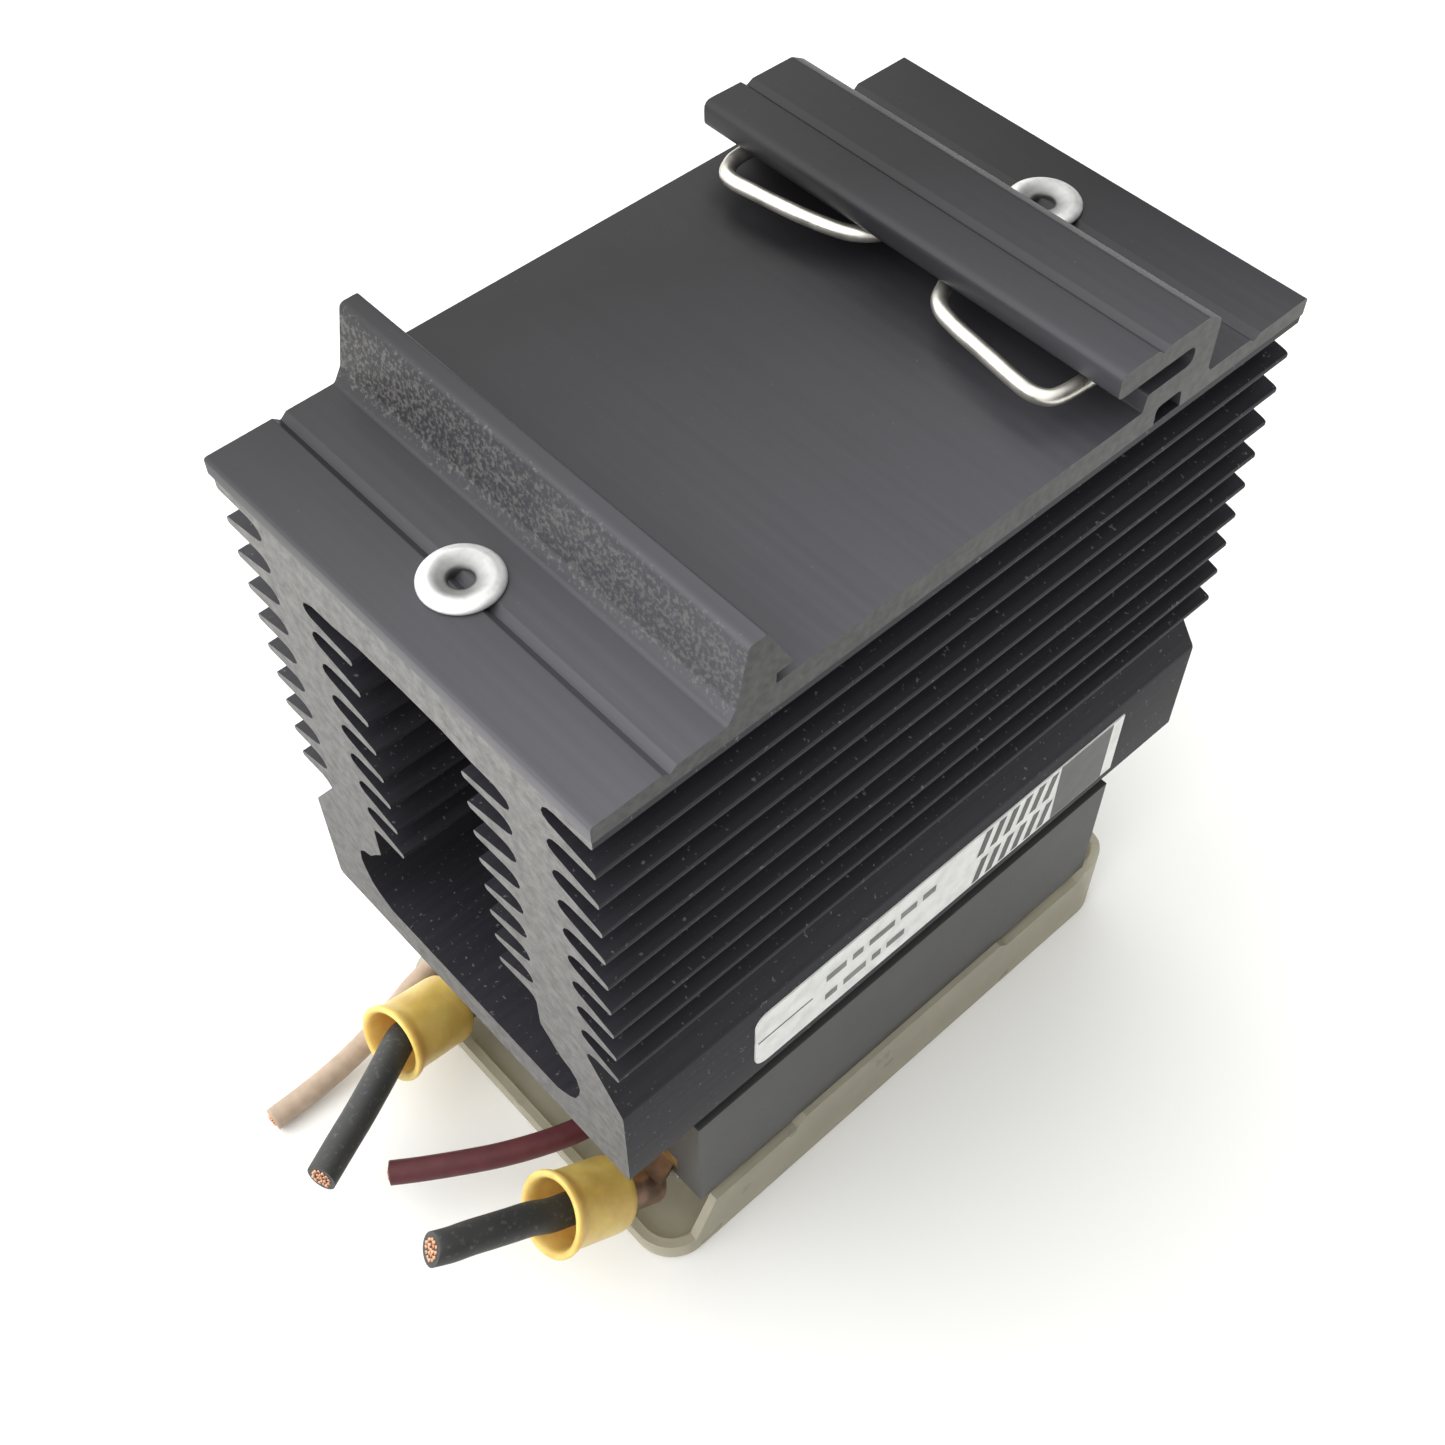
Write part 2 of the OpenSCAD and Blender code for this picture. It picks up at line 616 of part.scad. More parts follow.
// Fork terminal: the fork slips round the control screw, the barrel points under the relay
module fork_terminal(x) {
    color("#a9674a")
    translate([x, control_y, 0])
        difference() {
            union() {
                translate([0, 0, contact_z - fork_t]) cylinder(h = fork_t, d = 6.8);
                translate([-1.5, -6.6, contact_z - fork_t]) cube([3, 4, fork_t]);
                translate([0, -5.6, fork_barrel_z]) rotate([90, 0, 0]) cylinder(h = 4.9, r = fork_barrel_r);
            }
            translate([0, 0, contact_z - fork_t - over])
                cylinder(h = fork_t + 2 * over, d = control_screw_d + 0.3);
            translate([-(control_screw_d + 0.3) / 2, 0, contact_z - fork_t - over])
                cube([control_screw_d + 0.3, 5, fork_t + 2 * over]);
            translate([0, 0, fork_barrel_z]) rotate([90, 0, 0]) cylinder(h = 12, r = 0.8);
        }
}

module fork_terminal_left() { fork_terminal(-terminal_x); }
module fork_terminal_right() { fork_terminal(terminal_x); }

// Soft sleeve over a ring terminal's barrel, belled out at its mouth
module sleeve(start, turn, rise, back, reach) {
    r = sleeve_d / 2;
    color("#e6c23c")
    translate(start) rotate([90 - rise, 0, -turn])
        rotate_extrude() polygon([[barrel_r + fit, back + 0.2], [barrel_r + 0.5, back],
            [r - 0.5, back + 0.4], [r, back + 1.4], [r, reach - 1.6], [r + 0.45, reach - 0.7],
            [r + 0.45, reach], [r - 0.2, reach], [r - sleeve_wall, reach - 1.4],
            [r - sleeve_wall, back + 1.9], [barrel_r + fit, back + 1.4]]);
}

module sleeve_left() { sleeve(left_start, left_turn, left_rise, 3.4, 12.5); }
module sleeve_right() { sleeve(right_start, right_turn, right_rise, 4.8, 13.6); }

module black_wire_left() { color("#26282a") wire(black_left_route, load_wire_d); }
module black_wire_right() { color("#26282a") wire(black_right_route, load_wire_d); }
module red_wire() { color("#8f2036") wire(red_route, control_wire_d); }
module tan_wire() { color("#d8b5a0") wire(tan_route, control_wire_d); }

// Bare strands at the cut end of each wire
module copper_ends() {
    color("#b46a3c") {
        for (p = [black_left_route, black_right_route]) bar_from_end(p, load_wire_d * 0.6, 0.5);
        for (p = [red_route, tan_route]) bar_from_end(p, control_wire_d * 0.55, 0.4);
    }
}

module side_label() {
    label_z = sink_z + 1.8;
    label_h = 9.3;
    label_y = -half_l + 15.3;
    label_l = 50.6;
    r = 1.6;
    color("#e6e6e2")
    translate([tip_x, 0, 0]) rotate([90, 0, 90]) linear_extrude(height = 0.12)
        polygon([
            [label_y + label_l, label_z], [label_y + label_l, label_z + label_h],
            for (a = [90 : step : 180]) [label_y + r + r * cos(a), label_z + label_h - r + r * sin(a)],
            for (a = [180 : step : 270]) [label_y + r + r * cos(a), label_z + r + r * sin(a)]]);
}

module cover_outline(inset) {
    w = relay_w + 1.2 - 2 * inset;
    l = relay_l + 2 * (cover_overhang - inset);
    r = cover_corner - inset;
    translate([-w / 2 + r, relay_shift - l / 2]) square([w - 2 * r, l]);
    translate([-w / 2, relay_shift - l / 2 + r]) square([w, l - 2 * r]);
    for (sx = [-1, 1], sy = [-1, 1])
        translate([sx * (w / 2 - r), relay_shift + sy * (l / 2 - r)]) circle(r = r);
}

// What is cut off the cover's top rim: low at the wire end, a little low beside the terminals
module rim_cut() {
    end_wall = cover_h - 1.2;
    mid = 14.8;
    far = relay_l / 2 + cover_overhang + over;
    near = -relay_l / 2 - cover_overhang;
    polygon([[near - over, cover_h + over], [near - over, wire_sill], [near + cover_corner - 0.6, wire_sill],
        [near + cover_corner + 2.4, end_wall], [-mid - 1.2, end_wall], [-mid, cover_h], [mid, cover_h],
        [mid + 1.2, end_wall], [far, end_wall], [far, cover_h + over]]);
}

module terminal_cover() {
    color([0.85, 0.82, 0.66, 0.5])
    difference() {
        union() {
            difference() {
                linear_extrude(height = cover_h) cover_outline(0);
                translate([0, 0, cover_floor]) linear_extrude(height = cover_h) cover_outline(cover_wall);
                translate([0, relay_shift, 0]) across(relay_w * 2) rim_cut();
            }
            for (sx = [-1, 1], sy = [-1, 1])
                translate([sx * post_x, relay_shift + sy * post_y, cover_floor - 0.5])
                    cylinder(h = post_top - cover_floor + 0.5, d = post_d);
        }
        for (sx = [-1, 1], y = [load_y, control_y])
            translate([sx * terminal_x, y, -over]) cylinder(h = cover_floor + 2 * over, d = 6.5);
    }
}

heat_sink();
rail_plate();
rivets();
rail_spring();
thermal_pad();
base_plate();
relay_housing();
mounting_screws();
mounting_washers();
ceramic_substrate();
thyristor_chips();
circuit_board();
opto_coupler();
gate_capacitor();
gate_resistors();
status_led();
load_terminals();
control_terminals();
load_leads();
control_leads();
load_screw_left();
load_screw_right();
control_screw_left();
control_screw_right();
load_clamp_left();
load_clamp_right();
control_clamp_left();
control_clamp_right();
ring_terminal_left();
ring_terminal_right();
fork_terminal_left();
fork_terminal_right();
sleeve_left();
sleeve_right();
black_wire_left();
black_wire_right();
red_wire();
tan_wire();
copper_ends();
side_label();
terminal_cover();
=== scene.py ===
import bpy
import bmesh
import math
import random
from mathutils import Matrix, Vector


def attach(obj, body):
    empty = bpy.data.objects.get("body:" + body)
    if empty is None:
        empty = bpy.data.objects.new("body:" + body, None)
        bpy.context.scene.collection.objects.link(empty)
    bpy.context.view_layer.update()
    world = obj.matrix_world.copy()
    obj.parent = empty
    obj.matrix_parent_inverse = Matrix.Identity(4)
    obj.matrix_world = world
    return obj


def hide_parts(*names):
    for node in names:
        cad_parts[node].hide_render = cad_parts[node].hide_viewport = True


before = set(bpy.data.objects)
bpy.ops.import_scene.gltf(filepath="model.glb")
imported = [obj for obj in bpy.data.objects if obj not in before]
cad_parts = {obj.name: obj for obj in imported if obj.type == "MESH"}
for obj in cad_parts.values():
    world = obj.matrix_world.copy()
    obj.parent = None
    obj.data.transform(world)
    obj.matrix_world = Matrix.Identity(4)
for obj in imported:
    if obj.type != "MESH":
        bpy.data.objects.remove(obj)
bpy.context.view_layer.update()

# ---------------------------------------------------------------- Camera
# The view is from above the label side and the wire end.
# It looks down at about 53 degrees, so the rail plate and the cut end both show.
data = bpy.data.cameras.new("camera")
data.lens = 45.4
data.sensor_width = 36
camera = bpy.data.objects.new("camera", data)
bpy.context.collection.objects.link(camera)
back = Vector((0.4406, -0.3990, 0.8042)).normalized()
up = Vector((-0.5917, 0.5446, 0.5944))
right = up.cross(back).normalized()
up = back.cross(right)
camera.matrix_world = Matrix((
    (right.x, up.x, back.x, 0.0761),
    (right.y, up.y, back.y, -0.0750),
    (right.z, up.z, back.z, 0.1858),
    (0, 0, 0, 1)))
data.dof.use_dof = False
data.clip_start = 0.005
bpy.context.scene.camera = camera
bpy.context.scene.view_settings.view_transform = "Standard"

# ---------------------------------------------------------------- Table and light
# A white table, lit so brightly that it washes out, under a soft sky that's brightest
# on the side away from the label and fades to nothing behind the label side.
bm = bmesh.new()
for x, y in ((-3, -3), (3, -3), (3, 3), (-3, 3)):
    bm.verts.new((x, y, -0.00005))
bm.faces.new(bm.verts)
me = bpy.data.meshes.new("table")
bm.to_mesh(me)
bm.free()
table = bpy.data.objects.new("table", me)
bpy.context.collection.objects.link(table)
mat = bpy.data.materials.new("table_white")
mat.use_nodes = True
nodes, link = mat.node_tree.nodes, mat.node_tree.links.new
skin = nodes["Principled BSDF"]
skin.inputs["Roughness"].default_value = 0.55
coord = nodes.new("ShaderNodeTexCoord")
grain = nodes.new("ShaderNodeTexNoise")
grain.inputs["Scale"].default_value = 160
grain.inputs["Detail"].default_value = 3
specks = nodes.new("ShaderNodeValToRGB")
specks.color_ramp.elements[0].position = 0.215
specks.color_ramp.elements[0].color = (0.42, 0.4, 0.37, 1)
specks.color_ramp.elements[1].position = 0.245
specks.color_ramp.elements[1].color = (0.9, 0.9, 0.885, 1)
link(coord.outputs["Object"], grain.inputs["Vector"])
link(grain.outputs["Fac"], specks.inputs["Fac"])
link(specks.outputs["Color"], skin.inputs["Base Color"])
me.materials.append(mat)

world = bpy.data.worlds.new("studio")
bpy.context.scene.world = world
world.use_nodes = True
nodes, link = world.node_tree.nodes, world.node_tree.links.new
sky = nodes["Background"]
sky.inputs["Color"].default_value = (1, 1, 0.99, 1)
coord = nodes.new("ShaderNodeTexCoord")
toward = nodes.new("ShaderNodeVectorMath")
toward.operation = "DOT_PRODUCT"
toward.inputs[1].default_value = (-0.55, -0.6, 0.58)
glow = nodes.new("ShaderNodeMapRange")
glow.inputs["From Min"].default_value = -0.25
glow.inputs["From Max"].default_value = 1.0
glow.inputs["To Max"].default_value = 3.05
link(coord.outputs["Generated"], toward.inputs[0])
link(toward.outputs["Value"], glow.inputs["Value"])
link(glow.outputs["Result"], sky.inputs["Strength"])

# ---------------------------------------------------------------- Wires
# Red and tan stranded leads of the control side, 2.6 mm PVC insulation over copper, that
# run under the relay, and two heavy black load wires, 3.4 mm, that are stiff stubs cut off
# about 20 mm from their ring terminals. All four are crimped in a terminal and end bare.
for name, route, node, dark, light in (
        ("red_lead", [(14.1, 12.9, 7.3), (14.1, 9, 7.2), (13.9, 5, 7), (13.4, 1, 6.8), (12.6, -3, 6.6),
                      (11.6, -7, 6.5), (10.5, -11, 6.5), (9.1, -15, 6.6), (8, -19, 6.8), (7.6, -23, 7),
                      (7.6, -27, 7.1), (7.6, -30.5, 7.1), (6.9, -33.8, 7.1), (5.6, -37.2, 7.1),
                      (3.7, -41, 7), (1.5, -44.6, 6.9), (-0.8, -48, 6.7), (-2.6, -50.5, 6.6)],
         "red_wire", (0.0595, 0.0126, 0.0161, 1), (0.1105, 0.0234, 0.0299, 1)),
        ("tan_lead", [(-14.1, 12.9, 7.3), (-14.1, 9, 7.1), (-14.1, 5, 6.6), (-14.3, 1, 6), (-14.7, -3, 5.4),
                      (-15.3, -7, 4.9), (-16.3, -11, 4.6), (-17.5, -15, 4.5), (-18.7, -19, 4.5),
                      (-19.5, -23, 4.6), (-19.9, -27, 4.8), (-19.9, -31, 5), (-19.5, -35, 4.7),
                      (-18.9, -39, 3.7), (-18.5, -43, 2.7), (-18.3, -47, 2), (-18.3, -51, 1.6),
                      (-18.4, -55.6, 1.4)],
         "tan_wire", (0.294, 0.224, 0.168, 1), (0.546, 0.416, 0.312, 1)),
        ("load_wire_left", [(-12.93, -36.72, 8.67), (-12.73, -38.78, 9.4), (-12.54, -40.66, 10.07),
                            (-12, -42, 10.4), (-10.7, -44.6, 10.3), (-9.6, -47.1, 10), (-8.5, -49.8, 9.6),
                            (-7.5, -52.6, 9.1), (-6.1, -56.3, 8.5)],
         "black_wire_left", (0.036, 0.037, 0.036, 1), (0.1, 0.105, 0.1, 1)),
        ("load_wire_right", [(15.46, -36.42, 9.99), (15.22, -38.35, 11.2), (14.96, -40.46, 12.53),
                             (14.7, -42.6, 13.9), (14.1, -44.5, 15.1), (13.6, -46.5, 16), (13.1, -48.4, 16.8),
                             (12.5, -50.3, 17.4), (12, -52.1, 17.9), (11.3, -53.8, 18.3)],
         "black_wire_right", (0.036, 0.037, 0.036, 1), (0.1, 0.105, 0.1, 1))):
    heavy = name.startswith("load")
    radius, sides = (1.7, 28) if heavy else (1.3, 20)
    p = [Vector(q) for q in route]
    line = []
    for i in range(len(p) - 1):
        a, b, c, d = p[max(i - 1, 0)], p[i], p[i + 1], p[min(i + 2, len(p) - 1)]
        for s in range(8):
            t = s / 8
            line.append(0.5 * (2 * b + (c - a) * t + (2 * a - 5 * b + 4 * c - d) * t * t
                               + (3 * b - a - 3 * c + d) * t ** 3))
    line.append(p[-1])
    bm = bmesh.new()
    uv = bm.loops.layers.uv.new("lay")
    rings, dist, run = [], [], 0
    for i, q in enumerate(line):
        t = (line[min(i + 1, len(line) - 1)] - line[max(i - 1, 0)]).normalized()
        side = t.cross(Vector((0, 0, 1))).normalized()
        over = side.cross(t)
        run += (q - line[i - 1]).length if i else 0
        dist.append(run)
        # the snips squeeze the last 2 mm of a heavy wire a little flat
        left = 1 - max(0, i - len(line) + 7) * 0.012 if heavy else 1
        rings.append([bm.verts.new((q + radius * (math.cos(k * math.tau / sides) * side
                                                  + left * math.sin(k * math.tau / sides) * over)) / 1000)
                      for k in range(sides)])
    # and they cut it aslant, which leaves its face tipped upwards
    for back, ring in enumerate(reversed(rings[-4:]) if heavy else ()):
        for v in ring:
            from_end = v.co * 1000 - line[-1]
            past = from_end.dot(t) + math.tan(math.radians(20)) * from_end.dot(over) + 0.05 * back
            if past > 0 or back == 0:
                v.co -= past * t / 1000
    for i in range(len(line) - 1):
        for k in range(sides):
            face = bm.faces.new((rings[i][k], rings[i][(k + 1) % sides],
                                 rings[i + 1][(k + 1) % sides], rings[i + 1][k]))
            face.smooth = True
            for loop, u, v in zip(face.loops, (k, k + 1, k + 1, k), (i, i, i + 1, i + 1)):
                loop[uv].uv = (u / sides, dist[v] / 10)
    bm.faces.new(rings[0][::-1])
    bm.faces.new(rings[-1])
    bmesh.ops.recalc_face_normals(bm, faces=bm.faces)
    me = bpy.data.meshes.new(name)
    bm.to_mesh(me)
    bm.free()
    wire = bpy.data.objects.new(name, me)
    bpy.context.collection.objects.link(wire)
    mat = bpy.data.materials.new(name + "_pvc")
    mat.use_nodes = True
    nodes, link = mat.node_tree.nodes, mat.node_tree.links.new
    skin = nodes["Principled BSDF"]
    skin.inputs["Roughness"].default_value = 0.5
    skin.inputs["Specular IOR Level"].default_value = 0.35 if heavy else 0.3
    coord = nodes.new("ShaderNodeTexCoord")
    wear = nodes.new("ShaderNodeTexNoise")
    wear.inputs["Scale"].default_value = 1800 if heavy else 700
    wear.inputs["Detail"].default_value = 4 if heavy else 2
    tone = nodes.new("ShaderNodeValToRGB")
    tone.color_ramp.elements[0].position = 0.58 if heavy else 0
    tone.color_ramp.elements[0].color = dark
    tone.color_ramp.elements[1].position = 0.8 if heavy else 1
    tone.color_ramp.elements[1].color = light
    lay = nodes.new("ShaderNodeTexWave")
    lay.bands_direction = "DIAGONAL"
    lay.inputs["Scale"].default_value = 2.1 if heavy else 2.6
    lay.inputs["Distortion"].default_value = 1.5 if heavy else 1.2
    lift = nodes.new("ShaderNodeBump")
    lift.inputs["Strength"].default_value = 0.15 if heavy else 0.12
    lift.inputs["Distance"].default_value = 0.0001
    link(coord.outputs["Object"], wear.inputs["Vector"])
    link(wear.outputs["Fac"], tone.inputs["Fac"])
    link(tone.outputs["Color"], skin.inputs["Base Color"])
    link(coord.outputs["UV"], lay.inputs["Vector"])
    link(lay.outputs["Fac"], lift.inputs["Height"])
    link(lift.outputs["Normal"], skin.inputs["Normal"])
    me.materials.append(mat)
    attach(wire, "relay")
    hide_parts(node)

# ---------------------------------------------------------------- Copper strands
# Bare strands in the cut end of each of the four wires, packed in rings round one
# middle strand and snipped at slightly different lengths.
random.seed(7)
bm = bmesh.new()
for end, toward, r_copper, strand, slant in (
        ((-6.1, -56.3, 8.5), (1.4, -3.7, -0.6), 1.05, 0.2, 20),
        ((11.3, -53.8, 18.3), (-0.7, -1.7, 0.4), 1.05, 0.2, 20),
        ((-2.6, -50.5, 6.6), (-1.8, -2.5, -0.1), 0.62, 0.15, 0),
        ((-18.4, -55.6, 1.4), (-0.1, -4.6, -0.2), 0.62, 0.15, 0)):
    t = Vector(toward).normalized()
    side = t.cross(Vector((0, 0, 1))).normalized()
    over = side.cross(t)
    tipped = over - math.tan(math.radians(slant)) * t
    spots = [(0, 0)] + [(ring * r_copper / 2.2, k * math.tau / (6 * ring) + ring * 0.4)
                        for ring in (1, 2) for k in range(6 * ring)]
    for r, a in spots:
        mid = Vector(end) + side * r * math.cos(a) + tipped * r * math.sin(a)
        out = 0.06 + 0.2 * random.random()
        low = [bm.verts.new((mid - t * 0.3 + strand * (side * math.cos(k * math.tau / 8)
                                                       + over * math.sin(k * math.tau / 8))) / 1000)
               for k in range(8)]
        top = [bm.verts.new(v.co + t * (0.3 + out) / 1000) for v in low]
        for k in range(8):
            bm.faces.new((low[k], low[(k + 1) % 8], top[(k + 1) % 8], top[k])).smooth = True
        bm.faces.new(top)
        bm.faces.new(low[::-1])
bmesh.ops.recalc_face_normals(bm, faces=bm.faces)
me = bpy.data.meshes.new("copper_strands")
bm.to_mesh(me)
bm.free()
strands = bpy.data.objects.new("copper_strands", me)
bpy.context.collection.objects.link(strands)
mat = bpy.data.materials.new("bare_copper")
mat.use_nodes = True
nodes, link = mat.node_tree.nodes, mat.node_tree.links.new
skin = nodes["Principled BSDF"]
skin.inputs["Metallic"].default_value = 0.8
skin.inputs["Roughness"].default_value = 0.35
coord = nodes.new("ShaderNodeTexCoord")
stain = nodes.new("ShaderNodeTexNoise")
stain.inputs["Scale"].default_value = 1500
tone = nodes.new("ShaderNodeValToRGB")
tone.color_ramp.elements[0].color = (0.3, 0.12, 0.06, 1)
tone.color_ramp.elements[1].color = (0.85, 0.5, 0.32, 1)
link(coord.outputs["Object"], stain.inputs["Vector"])
link(stain.outputs["Fac"], tone.inputs["Fac"])
link(tone.outputs["Color"], skin.inputs["Base Color"])
me.materials.append(mat)
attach(strands, "relay")
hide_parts("copper_ends")

# ---------------------------------------------------------------- Heat sink
# One black-anodised aluminium extrusion, 76 mm long, with nine fins on each side and
# eight inside each half of the tunnel. It is sawn to length after dyeing, so its ends are bare.
tip, pitch, top = 22.4, 3.93, 84.65
outer = [(tip, 85.2), (tip, 84.3), (tip - 0.2, 84.1)]
for k in range(1, 10):
    zu, root = (84.1 if k == 1 else top - pitch * (k - 1) - 0.4), 16.8 + 0.13 * (k - 1)
    zl = top - pitch * k + 0.4
    outer += [(root + 1.5, zu), (root + 0.75, zu - 0.15), (root + 0.25, zu - 0.55), (root, zu - 1.15),
              (root + 0.15, zu - 1.65), (root + 0.7, zu - 2.0)]
    outer += [(tip - 0.35, zl + 0.03), (tip - 0.08, zl - 0.1), (tip, zl - 0.3), (tip - 0.02, zl - 0.62),
              (tip - 0.2, zl - 0.8)]
outer += [(19.4, 48.9), (18.6, 48.6), (18.2, 48.0), (18.35, 47.4), (tip - 0.15, 42.0), (tip, 41.6),
          (tip, 28.9), (tip - 0.3, 28.6)]
outer += [(-x, z) for x, z in reversed(outer)]
inner = [(0, 80.5), (5, 80.4), (8.5, 79.9), (11.2, 79.8)]
for j in range(1, 9):
    zu, root = (79.8 if j == 1 else top - pitch * j - 0.4), 12.7 - 0.15 * (j - 1)
    zl = top - pitch * (j + 1) + 0.4
    if j > 1:
        inner += [(root - 1.5, zu), (root - 0.75, zu - 0.15)]
    inner += [(root - 0.25, zu - 0.55), (root, zu - 1.15), (root - 0.15, zu - 1.65), (root - 0.7, zu - 2.0)]
    inner += [(7.15, zl + 0.03), (6.88, zl - 0.1), (6.8, zl - 0.35), (6.88, zl - 0.65), (7.05, zl - 0.8)]
inner += [(10.6, 48.9), (11.3, 48.6), (11.6, 48.0), (11.6, 44.1), (12.75, 42.8), (13.9, 41.3), (15.2, 40.7),
          (16.0, 39.8), (16.3, 38.0), (16.0, 36.6), (15.4, 35.0), (14.5, 34.0), (12.6, 32.9), (0, 32.9)]
inner += [(-x, z) for x, z in reversed(inner) if x]
bm = bmesh.new()
edges = []
for loop in (outer, inner):
    ring = [bm.verts.new((x / 1000, -0.038, z / 1000)) for x, z in loop]
    edges += [bm.edges.new((ring[i], ring[(i + 1) % len(ring)])) for i in range(len(ring))]
cap = bmesh.ops.triangle_fill(bm, use_beauty=True, use_dissolve=False, edges=edges)
near = [f for f in cap["geom"] if isinstance(f, bmesh.types.BMFace)]
far = bmesh.ops.extrude_face_region(bm, geom=near, use_keep_orig=True)
for v in far["geom"]:
    if isinstance(v, bmesh.types.BMVert):
        v.co.y = 0.038
bmesh.ops.recalc_face_normals(bm, faces=bm.faces)
me = bpy.data.meshes.new("finned_heat_sink")
bm.to_mesh(me)
bm.free()
me.shade_smooth()
me.set_sharp_from_angle(angle=math.radians(38))
sink = bpy.data.objects.new("finned_heat_sink", me)
bpy.context.collection.objects.link(sink)
mat = bpy.data.materials.new("anodised_extrusion")
mat.use_nodes = True
nodes, link = mat.node_tree.nodes, mat.node_tree.links.new
skin = nodes["Principled BSDF"]
skin.inputs["Specular IOR Level"].default_value = 0.12
coord = nodes.new("ShaderNodeTexCoord")
where = nodes.new("ShaderNodeSeparateXYZ")
link(coord.outputs["Object"], where.inputs["Vector"])
facing = nodes.new("ShaderNodeSeparateXYZ")
link(coord.outputs["Normal"], facing.inputs["Vector"])
size = nodes.new("ShaderNodeMath")
size.operation = "ABSOLUTE"
link(facing.outputs["Y"], size.inputs[0])
cut = nodes.new("ShaderNodeMath")
cut.operation = "GREATER_THAN"
cut.inputs[1].default_value = 0.7
link(size.outputs[0], cut.inputs[0])
# dyed skin: dark, with lines drawn along the extrusion and a dusting of pale specks
stretch = nodes.new("ShaderNodeMapping")
stretch.inputs["Scale"].default_value = (1400, 12, 1400)
link(coord.outputs["Object"], stretch.inputs["Vector"])
drawn = nodes.new("ShaderNodeTexNoise")
drawn.inputs["Scale"].default_value = 1
drawn.inputs["Detail"].default_value = 2
link(stretch.outputs["Vector"], drawn.inputs["Vector"])
dyed = nodes.new("ShaderNodeValToRGB")
dyed.color_ramp.elements[0].color = (0.017, 0.0165, 0.021, 1)
dyed.color_ramp.elements[1].color = (0.034, 0.033, 0.04, 1)
link(drawn.outputs["Fac"], dyed.inputs["Fac"])
specks = nodes.new("ShaderNodeTexNoise")
specks.inputs["Scale"].default_value = 1900
specks.inputs["Detail"].default_value = 5
link(coord.outputs["Object"], specks.inputs["Vector"])
dust = nodes.new("ShaderNodeMapRange")
dust.inputs["From Min"].default_value = 0.655
dust.inputs["From Max"].default_value = 0.72
dust.inputs["To Max"].default_value = 0.35
link(specks.outputs["Fac"], dust.inputs["Value"])
dusty = nodes.new("ShaderNodeMix")
dusty.data_type = "RGBA"
dusty.inputs["B"].default_value = (0.32, 0.31, 0.29, 1)
link(dust.outputs["Result"], dusty.inputs["Factor"])
link(dyed.outputs["Color"], dusty.inputs["A"])
# sawn end: pale, mottled by fine pits and by grey smears
mottle = nodes.new("ShaderNodeTexNoise")
mottle.inputs["Scale"].default_value = 900
mottle.inputs["Detail"].default_value = 6
mottle.inputs["Roughness"].default_value = 0.7
link(coord.outputs["Object"], mottle.inputs["Vector"])
bare = nodes.new("ShaderNodeValToRGB")
bare.color_ramp.elements[0].position = 0.3
bare.color_ramp.elements[0].color = (0.13, 0.128, 0.125, 1)
bare.color_ramp.elements[1].position = 0.62
bare.color_ramp.elements[1].color = (0.24, 0.237, 0.232, 1)
link(mottle.outputs["Fac"], bare.inputs["Fac"])
either = nodes.new("ShaderNodeMix")
either.data_type = "RGBA"
link(cut.outputs[0], either.inputs["Factor"])
link(dusty.outputs["Result"], either.inputs["A"])
# the sawn end's colour is scaled darker towards the base
darker_towards_base = nodes.new("ShaderNodeMapRange")
darker_towards_base.inputs["From Min"].default_value = 0.0286
darker_towards_base.inputs["From Max"].default_value = 0.085
darker_towards_base.inputs["To Min"].default_value = 0.58
darker_towards_base.inputs["To Max"].default_value = 0.84
link(where.outputs["Z"], darker_towards_base.inputs["Value"])
base_scaled_bare = nodes.new("ShaderNodeVectorMath")
base_scaled_bare.operation = "SCALE"
link(bare.outputs["Color"], base_scaled_bare.inputs[0])
link(darker_towards_base.outputs["Result"], base_scaled_bare.inputs["Scale"])
link(base_scaled_bare.outputs["Vector"], either.inputs["B"])
link(either.outputs["Result"], skin.inputs["Base Color"])
gloss = nodes.new("ShaderNodeMapRange")
gloss.inputs["To Min"].default_value = 0.45
gloss.inputs["To Max"].default_value = 0.6
link(cut.outputs[0], gloss.inputs["Value"])
link(gloss.outputs["Result"], skin.inputs["Roughness"])
relief = nodes.new("ShaderNodeBump")
relief.inputs["Strength"].default_value = 0.12
relief.inputs["Distance"].default_value = 0.0001
link(drawn.outputs["Fac"], relief.inputs["Height"])
link(relief.outputs["Normal"], skin.inputs["Normal"])
me.materials.append(mat)
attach(sink, "relay")
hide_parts("heat_sink")

